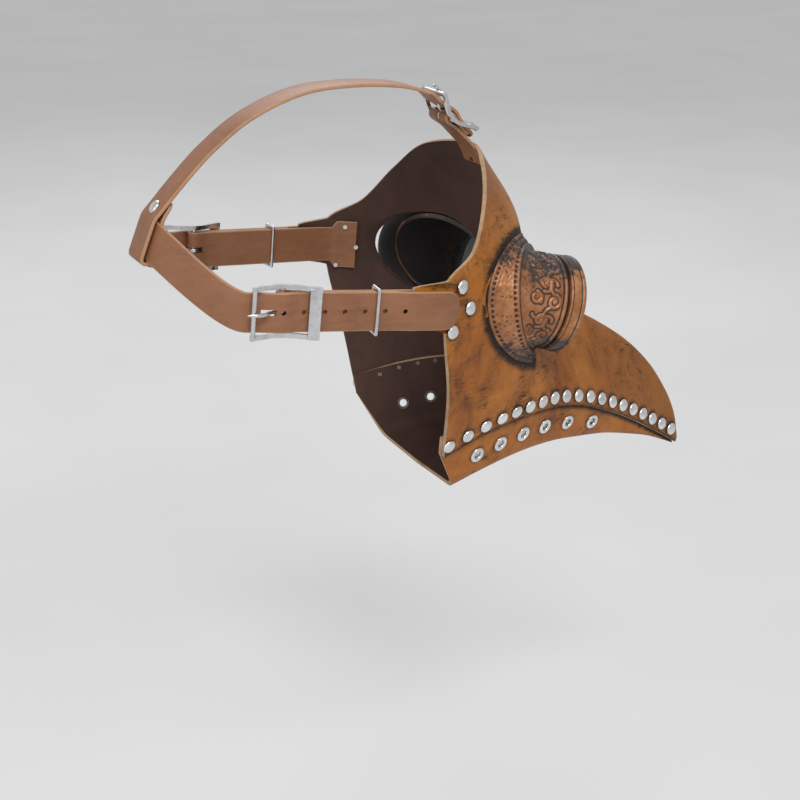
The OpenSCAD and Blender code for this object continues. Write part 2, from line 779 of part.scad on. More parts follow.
// Bowed frame with a round rear bar and a flat front bar, turning on the centre bar
module buckle_frame(half, flat_w) {
  steps = 16;
  back = -half - 1.2;
  front = half + flat_w / 2;
  stops = [for (i = [0:steps]) lerp(back, front, i / steps)];
  mid = [for (s = stops) [s, end_rise * pow(min(abs(s) / half, 1), 1.7)]];
  color("lightgray") {
    cylinder(r = bar_r, h = 2 * rail_y, center = true, $fn = 48);
    translate([-half, -end_rise, 0])
      cylinder(r = 1.2, h = 2 * rail_y, center = true, $fn = 32);
    translate([half - flat_w / 2, -end_rise - 0.8, -rail_y])
      cube([flat_w, 1.6, 2 * rail_y]);
    for (t = [-1, 1])
      translate([0, 0, t * rail_y])
        across(concat([for (p = mid) p + [0, rail_t / 2]],
                      [for (i = [steps:-1:0]) mid[i] - [0, rail_t / 2]]), rail_w);
  }
}

module buckle_frame_right() {
  side_place()
    buckle_frame(side_half, 6);
}

module buckle_frame_left() {
  mirror_left()
    buckle_frame_right();
}

module buckle_frame_top() {
  top_place()
    buckle_frame(top_half, 5);
}

// Tongue that turns on the centre bar, rises through the slot and rests on the rear bar
module prong(half) {
  path = smooth_path([[-1, 2.2], [-4.3, 1.95], [-7, 3.6], [-9.2, 6.4], [-half * 0.8, 8], [-half - 0.5, 8.2],
                      [-half - 3.8, 7.9]], 24);
  color("whitesmoke") {
    difference() {
      cylinder(r = 2.9, h = prong_w, center = true, $fn = 40);
      cylinder(r = bar_r + 0.08, h = prong_w + 1, center = true, $fn = 40);
    }
    across(ribbon(path, prong_t), prong_w);
  }
}

module prong_right() {
  side_place()
    prong(side_half);
}

module prong_left() {
  mirror_left()
    prong_right();
}

module prong_top() {
  top_place()
    prong(top_half);
}

// Loop of wire round both layers of a side strap
module keeper() {
  gap = 0.35;
  t = strap_w / 2 + gap + keeper_r;
  top = 3.8 + gap + keeper_r;
  low = -strap_t - gap - keeper_r;
  color("lightgray")
    translate([keeper_s, 0, 0]) {
      for (n = [top, low]) {
        translate([0, -n, 0])
          cylinder(r = keeper_r, h = 2 * t, center = true, $fn = 24);
        for (z = [-t, t])
          translate([0, -n, z])
            sphere(r = keeper_r, $fn = 24);
      }
      for (z = [-t, t])
        translate([0, -top, z])
          rotate([-90, 0, 0])
            cylinder(r = keeper_r, h = top - low, $fn = 24);
    }
}

module keeper_right() {
  side_place()
    keeper();
}

module keeper_left() {
  mirror_left()
    keeper_right();
}

face_shell();
jaw_panel();
jaw_rivets_right();
jaw_rivets_left();
jaw_eyelets_right();
jaw_eyelets_left();
side_rivets_right();
side_rivets_left();
eye_skirt_right();
eye_skirt_left();
eye_barrel_right();
eye_barrel_left();
eye_bezel_right();
eye_bezel_left();
lens_right();
lens_left();
lens_retainer_right();
lens_retainer_left();
back_strap();
crown_strap();
loop_rivet();
forehead_rivet();
buckle_strap_right();
buckle_strap_left();
buckle_strap_top();
buckle_frame_right();
buckle_frame_left();
buckle_frame_top();
prong_right();
prong_left();
prong_top();
keeper_right();
keeper_left();
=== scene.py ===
import math

import bpy
import numpy as np
from mathutils import Matrix, Vector, kdtree, noise


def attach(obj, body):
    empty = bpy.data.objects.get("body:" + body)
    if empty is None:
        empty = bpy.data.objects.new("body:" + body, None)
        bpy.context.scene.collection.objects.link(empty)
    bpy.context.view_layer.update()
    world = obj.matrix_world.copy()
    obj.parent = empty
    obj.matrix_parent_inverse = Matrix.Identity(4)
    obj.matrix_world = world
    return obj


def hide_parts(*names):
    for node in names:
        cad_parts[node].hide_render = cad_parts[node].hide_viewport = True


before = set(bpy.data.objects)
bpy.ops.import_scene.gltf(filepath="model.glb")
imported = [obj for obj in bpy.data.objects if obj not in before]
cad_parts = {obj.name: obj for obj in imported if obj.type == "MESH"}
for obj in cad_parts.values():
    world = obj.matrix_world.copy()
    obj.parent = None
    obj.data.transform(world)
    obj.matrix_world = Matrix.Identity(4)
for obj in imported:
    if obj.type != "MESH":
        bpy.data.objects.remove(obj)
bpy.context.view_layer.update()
RNG = np.random.default_rng(7)

# ---------------------------------------------------------------- surface of the mask, in mm
# Rear edge of the left half, from the forehead down to the jaw
REAR = np.array([(88.5, 0, 67), (77.5, 34, 62), (67.5, 54, 45.5), (54, 68, 25.5),
                 (33.5, 77, 12), (34, 75.5, -16), (40, 68.5, -50), (43.5, 56.5, -89.5)], float)
# Sections behind the beak's tip: ridge x and z, lower edge x, y and z, squareness, hollow, bulge
SEC = [(101, 43, 73, 52, -81.5, 2.05, 16, 20.5), (109.5, 16, 101, 45, -79, 1.95, 12, 13.5),
       (124.5, -11, 126, 37, -80.2, 1.65, 6, 4), (148, -31, 150, 29.3, -86.3, 1.45, 1, 1),
       (172, -45, 173, 21.5, -96, 1.4, 0, 0), (194, -60, 194, 14.3, -107, 1.4, 0, 0),
       (212, -77.5, 211, 8.6, -117.3, 1.4, 0, 0), (225.5, -97, 224, 4.6, -125.5, 1.45, 0, 0),
       (233, -113, 232, 2.6, -130.8, 1.6, 0, 0), (236.4, -129.5, 235.2, 0.6, -132.9, 2, 0, 0)]
# Lower corner of the jaw panel, from the rear to the tip
CORNER = np.array([(55, 45, -113.5), (80, 40.5, -108.5), (106, 34, -105.8), (130, 27, -106.3),
                   (153, 20, -109.6), (175, 14, -113.3), (195, 9.2, -118.3), (211.5, 5.6, -123.3),
                   (224.3, 3.4, -128.6), (232, 2.3, -132.2), (235, 1.2, -134)], float)
SHELL_T, JAW_T, LAP = 2.2, 2.0, 0.3
EYE_HOLE_R, JAW_HOLE_R = 26.0, 2.95
RIVET_R, RIVET_H = 3.75, 1.7
FLIP = np.array([1.0, -1.0, 1.0])


def unit(v):
    v = np.asarray(v, float)
    return v / np.linalg.norm(v, axis=-1, keepdims=True)


def between(a, p, b, d, f):
    """A smooth curve from p to b at the fraction f, with a and d the points before and after."""
    square, cube = 2 * a - 5 * p + 4 * b - d, 3 * p - a - 3 * b + d
    return 0.5 * (2 * p + (b - a) * f + square * f * f + cube * f ** 3)


def spline(p, t, before=None, after=None):
    """A smooth curve through the points p, for t from 0 to 1."""
    p = np.asarray(p, float)
    n = len(p) - 1
    a = 2 * p[0] - p[1] if before is None else np.asarray(before, float)
    b = 2 * p[n] - p[n - 1] if after is None else np.asarray(after, float)
    q = np.vstack([a, p, b])
    x = np.clip(np.atleast_1d(np.asarray(t, float)), 0, 1) * n
    i = np.minimum(np.floor(x).astype(int), n - 1)
    r = between(q[i], q[i + 1], q[i + 2], q[i + 3], (x - i)[:, None])
    return r if np.ndim(t) else r[0]


def thin(k):
    """How far the walls thin out at section k, towards the tip."""
    return np.where(np.asarray(k) <= 6, 1.0, 1 - 0.14 * (np.asarray(k) - 6.0))


def section(k, u, g=0.0):
    """Points of section k from the ridge, u 0, to the lower edge, u 1, at the depth g in the wall."""
    u = np.asarray(u, float)
    if k == 0:
        pts = REAR - g * unit(np.c_[REAR[:, 0] - 20, REAR[:, 1], 0.35 * REAR[:, 2]])
        return spline(pts, u, pts[1] * FLIP)
    s = SEC[k - 1]
    a = np.array([SEC[max(k - 2, 0)][0], 0, SEC[max(k - 2, 0)][1]], float)
    b = np.array([SEC[min(k, 9)][0], 0, SEC[min(k, 9)][1]], float)
    d = unit(b - a)
    w = float(thin(k))
    c = np.array([s[0], 0, s[1]]) + g * w * min(1 + 0.25 * k, 1.9) * np.array([d[2], 0, -d[0]])
    e = np.array([s[2], s[3], s[4]]) - g * w * np.array([0.3, 0.94, 0.15])
    th = u * math.pi / 2
    fa = 1 - np.maximum(np.cos(th), 0) ** (2 / s[5])
    fb = np.sin(th) ** (2 / s[5])
    hollow = s[6] * np.sin(math.pi * u ** 1.5) ** 2
    bulge = s[7] * np.sin(math.pi * u)
    return np.stack([c[0] + (e[0] - c[0]) * fa - hollow, e[1] * fb + bulge, c[2] + (e[2] - c[2]) * fa], -1)


def skin_grid(u, v, g=0.0):
    """Points for every v (rows) and u (columns)."""
    rows = [section(k, u, g) for k in range(11)]
    q = np.stack([2 * rows[0] - rows[1]] + rows + [2 * rows[10] - rows[9]])
    x = np.clip(np.asarray(v, float), 0, 1) * 10
    i = np.minimum(np.floor(x).astype(int), 9)
    return between(q[i], q[i + 1], q[i + 2], q[i + 3], (x - i)[:, None, None])


def skin(u, v, g=0.0):
    return skin_grid(np.array([u]), np.array([v]), g)[0, 0]


def skin_normal(u, v):
    e = 0.004
    du = skin(min(u + e, 1), v) - skin(max(u - e, 0), v)
    dv = skin(u, min(v + e, 1)) - skin(u, max(v - e, 0))
    n = unit(np.cross(du, dv))
    return -n if n[1] < 0 else n


def find_uv(q, a, b, uv, n=8):
    """Where the line through q, square to a and b, meets the skin."""
    u, v = uv
    e = 0.001
    for _ in range(n):
        p = skin(u, v)
        pu, pv = (skin(u + e, v) - p) / e, (skin(u, v + e) - p) / e
        m = np.array([[pu @ a, pv @ a], [pu @ b, pv @ b]])
        r = np.array([(q - p) @ a, (q - p) @ b])
        du, dv = np.clip(np.linalg.solve(m, r), -0.15, 0.15)
        u, v = float(np.clip(u + du, 0.01, 0.985)), float(np.clip(v + dv, 0.01, 0.985))
    return u, v


def ease(x, a, b):
    t = np.clip((np.asarray(x, float) - a) / (b - a), 0, 1)
    return t * t * (3 - 2 * t)


# ---------------------------------------------------------------- side and crown harness frames, in mm
BAR = np.array([-51.0, -65.0, 7.4])
BETA, PSI = math.radians(5.2), math.radians(6)
TOP = np.array([70.0, 0, 82.6])
GAMMA = math.radians(45.6)
SIDE_HALF, CROWN_HALF = 15.3, 12.5


def side_dir(s, n, t):
    x = s * math.cos(BETA) + t * math.sin(BETA)
    z = -s * math.sin(BETA) + t * math.cos(BETA)
    return np.array([x * math.cos(PSI) - n * math.sin(PSI), -x * math.sin(PSI) - n * math.cos(PSI), z])


def side_point(s, n, t=0.0):
    return BAR + side_dir(s, n, t)


def top_dir(s, n, t):
    ca, sa = math.cos(GAMMA), math.sin(GAMMA)
    return np.array([s * ca + n * sa, t, -s * sa + n * ca])


def top_point(s, n, t=0.0):
    return TOP + top_dir(s, n, t)


def weave(s, half):
    """Height of a strap's tail over the strap below it, as it passes through its buckle."""
    s = float(s)
    return 2.9 + 1.7 * (1 - float(ease(s, 0, 8))) if s > 0 else 4.6 - 2.2 * float(ease(-s, 0, half - 1.3))


def side_tail(s):
    return weave(s, SIDE_HALF) + 1.1 * float(ease(s, 56.5, 66)) - 2.3 * float(ease(s, 83, 95))


# ---------------------------------------------------------------- mesh helpers
def grid_quads(nr, nc, wrap_r=False, wrap_c=False, base=0):
    rows = np.arange(nr if wrap_r else nr - 1)
    cols = np.arange(nc if wrap_c else nc - 1)
    j, i = np.meshgrid(rows, cols, indexing="ij")
    j2, i2 = (j + 1) % nr, (i + 1) % nc
    q = np.stack([j * nc + i, j * nc + i2, j2 * nc + i2, j2 * nc + i], -1).reshape(-1, 4)
    return q + base


def wall_between(outer, inner):
    """Vertices, faces and material indices of a wall: outside 0, inside 1, cut edge 2."""
    nr, nc = outer.shape[:2]
    n = nr * nc
    a = grid_quads(nr, nc)
    b = a[:, ::-1] + n
    loop = list(range(nc)) + [j * nc + nc - 1 for j in range(1, nr)]
    loop += [(nr - 1) * nc + i for i in range(nc - 2, -1, -1)] + [j * nc for j in range(nr - 2, 0, -1)]
    rim = [[p, q, q + n, p + n] for p, q in zip(loop, loop[1:] + loop[:1])]
    verts = np.vstack([outer.reshape(-1, 3), inner.reshape(-1, 3)])
    return verts, a.tolist() + b.tolist() + rim, [0] * len(a) + [1] * len(b) + [2] * len(rim)


def fix_normals(me):
    import bmesh
    bm = bmesh.new()
    bm.from_mesh(me)
    bmesh.ops.recalc_face_normals(bm, faces=bm.faces[:])
    bm.to_mesh(me)
    bm.free()


def make(name, verts, faces, mats, index=None, uv=None, attrs=None, smooth=True):
    """A mesh object from points in mm."""
    me = bpy.data.meshes.new(name)
    verts = np.asarray(verts, float) * 0.001
    me.from_pydata(verts.tolist(), [], [list(map(int, f)) for f in faces])
    for m in mats:
        me.materials.append(m)
    if index is not None:
        me.polygons.foreach_set("material_index", np.asarray(index, np.int32))
    if attrs:
        for key, vals in attrs.items():
            at = me.attributes.new(key, "FLOAT", "POINT")
            at.data.foreach_set("value", np.asarray(vals, np.float32))
    if uv is not None:
        lay = me.uv_layers.new(name="UVMap")
        loops = np.zeros(len(me.loops), np.int32)
        me.loops.foreach_get("vertex_index", loops)
        lay.data.foreach_set("uv", np.asarray(uv, np.float32)[loops].ravel())
    fix_normals(me)
    if smooth:
        me.polygons.foreach_set("use_smooth", [True] * len(me.polygons))
    me.update()
    ob = bpy.data.objects.new(name, me)
    bpy.context.scene.collection.objects.link(ob)
    return ob


def sharpen(ob, angle=35):
    ob.data.set_sharp_from_angle(angle=math.radians(angle))


def apply_mods(ob):
    dg = bpy.context.evaluated_depsgraph_get()
    me = bpy.data.meshes.new_from_object(ob.evaluated_get(dg), preserve_all_data_layers=True, depsgraph=dg)
    ob.modifiers.clear()
    ob.data = me


def cylinder(p, n, r, h, seg=40):
    """Cutter: a closed cylinder centred at p along n, in mm."""
    n = unit(n)
    a = unit(np.cross(n, [0.3, 0.2, 1.0] if abs(n[2]) < 0.9 else [1.0, 0, 0]))
    b = np.cross(n, a)
    w = np.linspace(0, 2 * math.pi, seg, endpoint=False)
    ring = np.outer(np.cos(w), a) * r + np.outer(np.sin(w), b) * r
    v = np.vstack([p + ring - n * h / 2, p + ring + n * h / 2])
    f = [[i, (i + 1) % seg, seg + (i + 1) % seg, seg + i] for i in range(seg)]
    return v, f + [list(range(seg))[::-1], list(range(seg, 2 * seg))]


def block(middle, direction, along, out=(-3, 3), across=(-1.6, 1.6)):
    """Cutter: a box about middle, with its sides along a harness frame."""
    corners = [middle + direction(dx, dn, dt) for dx in along for dn in out for dt in across]
    faces = [[0, 1, 3, 2], [4, 6, 7, 5], [0, 4, 5, 1], [2, 3, 7, 6], [0, 2, 6, 4], [1, 5, 7, 3]]
    return np.array(corners), faces


def cut(ob, cutters, mat):
    """Takes the cutters out of ob; mat is the finish of the cut."""
    vs, fs, base = [], [], 0
    for v, f in cutters:
        vs.append(v)
        fs += [[i + base for i in q] for q in f]
        base += len(v)
    c = make("cutter", np.vstack(vs), fs, [mat], smooth=False)
    m = ob.modifiers.new("cut", "BOOLEAN")
    m.operation, m.object, m.solver = "DIFFERENCE", c, "EXACT"
    apply_mods(ob)
    bpy.data.objects.remove(c, do_unlink=True)


def band_section(hw, t, r=0.55, m=4):
    """Rounded rectangle as (across, out) pairs."""
    pts = []
    w, h = hw - r, t / 2 - r
    for cx, cy, a0 in ((w, h, 0), (-w, h, 90), (-w, -h, 180), (w, -h, 270)):
        for i in range(m):
            a = math.radians(a0 + 90 * i / (m - 1))
            pts.append((cx + r * math.cos(a), cy + r * math.sin(a)))
    return np.array(pts)


def sweep(name, pts, across, out, hw, t, mats, r=0.55):
    """Strap of width 2*hw and thickness t along pts; hw may vary."""
    n = len(pts)
    hw = np.broadcast_to(hw, n)
    vs, uv, s = [], [], 0.0
    for i in range(n):
        if i:
            s += float(np.linalg.norm(pts[i] - pts[i - 1]))
        sec = band_section(max(hw[i], r + 0.05), t, r)
        vs.append(pts[i] + sec[:, :1] * across[i] + sec[:, 1:] * out[i])
        uv.append(np.c_[np.full(len(sec), s), sec[:, 0]])
    m = len(vs[0])
    f = grid_quads(n, m, wrap_c=True).tolist()
    idx = []
    for q in f:
        k = q[0] % m
        idx.append(1 if (k % 4 != 3 or (k // 4) % 2 == 1) else 0)
    f += [list(range(m))[::-1], [m * (n - 1) + i for i in range(m)]]
    idx += [1, 1]
    return make(name, np.vstack(vs), f, mats, idx, uv=np.vstack(uv) * 0.001)


def frames_along(pts, across):
    """Across and outward directions square to a strap's run."""
    run = unit(np.gradient(pts, axis=0))
    across = unit(across - (across * run).sum(-1, keepdims=True) * run)
    return across, np.cross(across, run)


def mirrored(ob, name):
    """The same piece on the other side of the mask."""
    me = ob.data.copy()
    me.transform(Matrix.Scale(-1, 4, Vector((0, 1, 0))))
    me.flip_normals()
    o = bpy.data.objects.new(name, me)
    bpy.context.scene.collection.objects.link(o)
    return o


# ---------------------------------------------------------------- materials
class Nodes:
    def __init__(self, name):
        self.m = bpy.data.materials.new(name)
        self.m.use_nodes = True
        self.t = self.m.node_tree
        self.t.nodes.clear()
        self.out = self.t.nodes.new("ShaderNodeOutputMaterial")
        self.b = self.t.nodes.new("ShaderNodeBsdfPrincipled")
        self.t.links.new(self.b.outputs[0], self.out.inputs[0])
        self.c = self.t.nodes.new("ShaderNodeTexCoord")

    def link(self, a, b):
        self.t.links.new(a, b)

    def val(self, sock, v):
        if hasattr(v, "links"):
            self.link(v, sock)
        else:
            sock.default_value = v

    def coord(self, which="Object", scale=(1, 1, 1), rot=(0, 0, 0)):
        mp = self.t.nodes.new("ShaderNodeMapping")
        self.link(self.c.outputs[which], mp.inputs[0])
        mp.inputs["Scale"].default_value = scale
        mp.inputs["Rotation"].default_value = rot
        return mp.outputs[0]

    def noise(self, vec, scale, detail=5, rough=0.6, dist=0.0):
        n = self.t.nodes.new("ShaderNodeTexNoise")
        self.link(vec, n.inputs["Vector"])
        n.inputs["Scale"].default_value = scale
        n.inputs["Detail"].default_value = detail
        n.inputs["Roughness"].default_value = rough
        n.inputs["Distortion"].default_value = dist
        return n.outputs["Fac"]

    def voronoi(self, vec, scale, feature="F1", out="Distance"):
        n = self.t.nodes.new("ShaderNodeTexVoronoi")
        n.feature = feature
        self.link(vec, n.inputs["Vector"])
        n.inputs["Scale"].default_value = scale
        return n.outputs[out]

    def math(self, op, a, b=0.0, clamp=False):
        n = self.t.nodes.new("ShaderNodeMath")
        n.operation, n.use_clamp = op, clamp
        self.val(n.inputs[0], a)
        self.val(n.inputs[1], b)
        return n.outputs[0]

    def ramp(self, fac, stops, mode="LINEAR"):
        n = self.t.nodes.new("ShaderNodeValToRGB")
        n.color_ramp.interpolation = mode
        el = n.color_ramp.elements
        while len(el) < len(stops):
            el.new(0.5)
        for e, (p, c) in zip(el, stops):
            e.position = p
            e.color = (*c, 1) if len(c) == 3 else c
        self.val(n.inputs[0], fac)
        return n.outputs["Color"]

    def step(self, fac, lo, hi):
        n = self.t.nodes.new("ShaderNodeMapRange")
        n.interpolation_type = "SMOOTHSTEP"
        self.val(n.inputs["Value"], fac)
        n.inputs["From Min"].default_value = lo
        n.inputs["From Max"].default_value = hi
        return n.outputs["Result"]

    def mix(self, fac, a, b, mode="MIX"):
        n = self.t.nodes.new("ShaderNodeMix")
        n.data_type, n.blend_type = "RGBA", mode
        self.val(n.inputs[0], fac)
        for k, v in ((6, a), (7, b)):
            if hasattr(v, "links"):
                self.link(v, n.inputs[k])
            else:
                n.inputs[k].default_value = (*v, 1)
        return n.outputs[2]

    def attr(self, name):
        n = self.t.nodes.new("ShaderNodeAttribute")
        n.attribute_name = name
        return n.outputs["Fac"]

    def bump(self, height, strength, dist=0.0005):
        n = self.t.nodes.new("ShaderNodeBump")
        n.inputs["Strength"].default_value = strength
        n.inputs["Distance"].default_value = dist
        self.link(height, n.inputs["Height"])
        return n.outputs[0]

    def set(self, **kw):
        for k, v in kw.items():
            self.val(self.b.inputs[k.replace("_", " ")], v)
        return self


def mask_leather(name, dark=0.0, inner=False):
    n = Nodes(name)
    p = n.coord()
    warp = n.coord(scale=(1, 1, 0.35), rot=(0, 0.5, 0))
    big = n.noise(p, 16, 7, 0.62, 0.6)
    mid = n.noise(warp, 70, 8, 0.7, 0.4)
    fine = n.noise(p, 420, 6, 0.75)
    streak = n.noise(n.coord(scale=(0.35, 1, 2.2), rot=(0, 0.62, 0)), 190, 6, 0.7, 0.3)
    tone = n.math("ADD", n.math("MULTIPLY", big, 0.5), n.math("MULTIPLY", mid, 0.5))
    if inner:
        col = n.ramp(tone, [(0.3, (0.03, 0.012, 0.008)), (0.7, (0.075, 0.03, 0.018))])
        b1 = n.bump(fine, 0.5, 0.0003)
        n.set(Base_Color=col, Roughness=0.8, Normal=b1)
        return n.m
    base = n.ramp(tone, [(0.34, (0.13, 0.036, 0.006)), (0.44, (0.31, 0.096, 0.011)),
                         (0.55, (0.43, 0.148, 0.017)), (0.7, (0.5, 0.205, 0.04))])
    light = n.step(streak, 0.54, 0.74)
    base = n.mix(n.math("MULTIPLY", light, 0.4), base, (0.5, 0.26, 0.1))
    # Darker towards the beak's tip as painted shade, and towards the forehead as grime, from the front
    # attribute.
    base = n.mix(n.attr("front"), base, (0.1, 0.036, 0.012))
    # dark paint as fine dry-brushed specks and smudges; dark paint round the rivets and painted shade in the
    # creases and grooves come from a per-vertex attribute
    dry = n.noise(n.coord(scale=(0.5, 1, 1.6), rot=(0, -0.5, 0)), 260, 7, 0.8, 0.5)
    patch = n.noise(p, 34, 6, 0.68, 0.8)
    specks = n.math("MULTIPLY", n.step(dry, 0.52, 0.63), n.step(patch, 0.45, 0.62))
    smudge = n.math("MULTIPLY", n.step(patch, 0.48, 0.66), n.step(streak, 0.38, 0.6))
    # per-vertex darkening: dark paint round rivets and eyelets, painted shade in the creases and in the
    # groove round each eyepiece
    edge = n.attr("patina_and_shade")
    broken = n.math("MULTIPLY", n.math("SUBTRACT", dry, 0.5), n.math("MULTIPLY", edge, 1.8))
    patina_and_shade = n.step(n.math("ADD", edge, broken), 0.12, 0.85)
    marks = n.math("ADD", n.math("MULTIPLY", specks, 0.75), n.math("MULTIPLY", smudge, 0.5))
    # dry-brushed dark marks together with the painted shade
    darkening = n.math("ADD", marks, patina_and_shade, True)
    col = n.mix(darkening, base, (0.018, 0.011, 0.008))
    pores = n.voronoi(n.coord(scale=(1, 1, 1)), 1100)
    grain = n.math("ADD", n.math("MULTIPLY", fine, 0.6), n.math("MULTIPLY", mid, 1.1))
    h = n.math("ADD", n.math("MULTIPLY", pores, 0.5), grain)
    nb = n.bump(h, 0.4, 0.00035)
    rough = n.math("ADD", 0.36, n.math("MULTIPLY", n.math("ADD", fine, darkening), 0.22))
    n.set(Base_Color=col, Roughness=rough, Normal=nb)
    n.b.inputs["Specular IOR Level"].default_value = 0.3
    return n.m


def edge_leather(name):
    n = Nodes(name)
    p = n.coord()
    f = n.noise(p, 700, 5, 0.7)
    g = n.noise(p, 60, 4)
    col = n.ramp(n.math("ADD", n.math("MULTIPLY", f, 0.5), n.math("MULTIPLY", g, 0.5)),
                 [(0.3, (0.22, 0.115, 0.05)), (0.55, (0.42, 0.28, 0.16)), (0.8, (0.56, 0.42, 0.28))])
    n.set(Base_Color=col, Roughness=0.75, Normal=n.bump(f, 0.5, 0.0003))
    return n.m


def strap_leather(name, edge=False):
    n = Nodes(name)
    p = n.coord()
    big = n.noise(p, 22, 6, 0.6, 0.3)
    fine = n.noise(p, 520, 7, 0.75)
    fib = n.noise(n.coord(scale=(0.5, 0.5, 3)), 160, 6, 0.7)
    tone = n.math("ADD", n.math("MULTIPLY", big, 0.6), n.math("MULTIPLY", fib, 0.4))
    if edge:
        col = n.ramp(n.math("ADD", n.math("MULTIPLY", fine, 0.5), n.math("MULTIPLY", big, 0.5)),
                     [(0.3, (0.26, 0.12, 0.06)), (0.6, (0.45, 0.25, 0.14)), (0.8, (0.55, 0.36, 0.23))])
        n.set(Base_Color=col, Roughness=0.7, Normal=n.bump(fine, 0.5, 0.0003))
        return n.m
    col = n.ramp(tone, [(0.3, (0.17, 0.068, 0.03)), (0.48, (0.25, 0.104, 0.047)),
                        (0.62, (0.29, 0.126, 0.06)), (0.8, (0.35, 0.165, 0.086))])
    spot = n.step(n.noise(p, 1500, 3, 0.6), 0.62, 0.75)
    col = n.mix(n.math("MULTIPLY", spot, 0.25), col, (0.09, 0.04, 0.022))
    pores = n.voronoi(p, 1600)
    h = n.math("ADD", n.math("MULTIPLY", pores, 0.6), n.math("MULTIPLY", fine, 0.7))
    rough = n.math("ADD", 0.4, n.math("MULTIPLY", fine, 0.2))
    n.set(Base_Color=col, Roughness=rough, Normal=n.bump(h, 0.25, 0.0002))
    return n.m


def copper(name, patina=0.5):
    """Copper paint, black in the hollows and at the top and bottom of the round."""
    n = Nodes(name)
    p = n.coord()
    big = n.noise(p, 45, 5, 0.6, 0.5)
    mid = n.noise(p, 190, 7, 0.7)
    fine = n.noise(p, 800, 5, 0.7)
    tone = n.math("ADD", n.math("MULTIPLY", big, 0.5), n.math("MULTIPLY", mid, 0.5))
    base = n.ramp(tone, [(0.32, (0.15, 0.05, 0.02)), (0.5, (0.36, 0.145, 0.055)), (0.68, (0.58, 0.28, 0.13))])
    patch = n.noise(p, 60, 6, 0.7, 0.6)
    dab = n.noise(p, 420, 7, 0.8, 0.6)
    pole = n.step(n.attr("pole"), 0.35, 1.0)
    dabs = n.math("ADD", patch, n.math("MULTIPLY", n.math("SUBTRACT", dab, 0.5), 0.7))
    lvl = n.math("ADD", dabs, n.math("MULTIPLY", pole, 0.3))
    black = n.step(lvl, 0.64 - 0.12 * patina, 0.78 - 0.12 * patina)
    rough_dab = n.math("MULTIPLY", n.math("SUBTRACT", dab, 0.5), 0.5)
    cav = n.step(n.math("ADD", n.attr("cavity"), rough_dab), 0.15, 0.7)
    darkening = n.math("MAXIMUM", n.math("MULTIPLY", black, 0.93), cav)
    col = n.mix(darkening, base, (0.016, 0.013, 0.014))
    metal = n.math("MULTIPLY", n.math("SUBTRACT", 1.0, darkening), 0.45)
    rough = n.math("ADD", 0.34, n.math("MULTIPLY", fine, 0.22))
    h = n.math("ADD", fine, n.math("MULTIPLY", mid, 0.8))
    n.set(Base_Color=col, Metallic=metal, Roughness=rough, Normal=n.bump(h, 0.3, 0.00025))
    return n.m


def chrome(name, tint=(0.78, 0.78, 0.8), wear=0.5):
    n = Nodes(name)
    p = n.coord()
    big = n.noise(p, 120, 4)
    scr = n.noise(n.coord(scale=(1, 6, 1)), 900, 5, 0.8)
    col = n.ramp(n.math("ADD", n.math("MULTIPLY", big, 0.6), n.math("MULTIPLY", scr, 0.4)),
                 [(0.3, tuple(0.62 * c for c in tint)), (0.6, tint),
                  (0.8, tuple(min(1, 1.12 * c) for c in tint))])
    rough = n.math("ADD", 0.12, n.math("MULTIPLY", n.math("ADD", big, scr), 0.12 * wear + 0.06))
    n.set(Base_Color=col, Metallic=1.0, Roughness=rough, Normal=n.bump(scr, 0.06, 0.0002))
    return n.m


def plain(name, c0, c1, rough, metal=0.0):
    n = Nodes(name)
    p = n.coord()
    f = n.noise(p, 300, 5, 0.7)
    n.set(Base_Color=n.ramp(f, [(0.3, c0), (0.7, c1)]), Roughness=rough, Metallic=metal,
          Normal=n.bump(f, 0.15, 0.0002))
    return n.m


def glass(name):
    n = Nodes(name)
    p = n.coord()
    f = n.noise(p, 60, 2, 0.5)
    n.set(Base_Color=n.ramp(f, [(0.3, (0.03, 0.033, 0.036)), (0.75, (0.06, 0.064, 0.07))]),
          Roughness=n.math("ADD", 0.05, n.math("MULTIPLY", n.step(f, 0.4, 0.8), 0.12)))
    n.b.inputs["Alpha"].default_value = 0.75
    n.b.inputs["Coat Weight"].default_value = 0.4
    n.m.surface_render_method = "BLENDED"
    return n.m


MAT = {
    "mask": mask_leather("mask_leather_outer"),
    "inner": mask_leather("mask_leather_inside", inner=True),
    "edge": edge_leather("mask_leather_cut_edge"),
    "strap": strap_leather("strap_leather_face"),
    "strap_edge": strap_leather("strap_leather_edge", edge=True),
    "copper": copper("copper_scrollwork", 0.4),
    "copper_ring": copper("copper_ring", 0.55),
    "lace": copper("perforated_skirt", 0.15),
    "chrome": chrome("chrome_steel"),
    "nickel": chrome("white_nickel", (0.9, 0.9, 0.9), 0.9),
    "dark": plain("dark_oxide", (0.01, 0.009, 0.009), (0.045, 0.035, 0.03), 0.45, 0.6),
    "black": plain("matt_black", (0.008, 0.008, 0.008), (0.03, 0.03, 0.03), 0.6),
    "glass": glass("smoked_lens"),
}

# ---------------------------------------------------------------- eyepiece geometry (left side)
EYE = np.array([121.0, 45.0, -16.8])
GP, GS = math.radians(14.5), math.radians(4)
G = np.array([math.cos(GP) * math.cos(GS), math.cos(GP) * math.sin(GS), -math.sin(GP)])
RN = unit([0.767, 0.635, 0.085])
RC = EYE - 19.3 * G - np.array([0, 0, 1.5])
E1 = unit([-G[1], G[0], 0])
E2 = np.cross(G, E1)


def on_ridge(a, r):
    """A point on the skirt's ridge plane, at angle a and radius r about the eye's axis."""
    p = EYE + r * (math.cos(a) * E1 + math.sin(a) * E2)
    return p + ((RC - p) @ RN) / (G @ RN) * G


def held(p, r_min, z_max):
    """A skirt point kept behind the front ring and clear of its opening."""
    q = p - EYE
    z = float(q @ G)
    d = q - z * G
    k = min(max(1 + (z - z_max) / 4, 0), 1)
    r = np.linalg.norm(d)
    return EYE + max(r, r_min * k) / r * d + min(z, z_max) * G


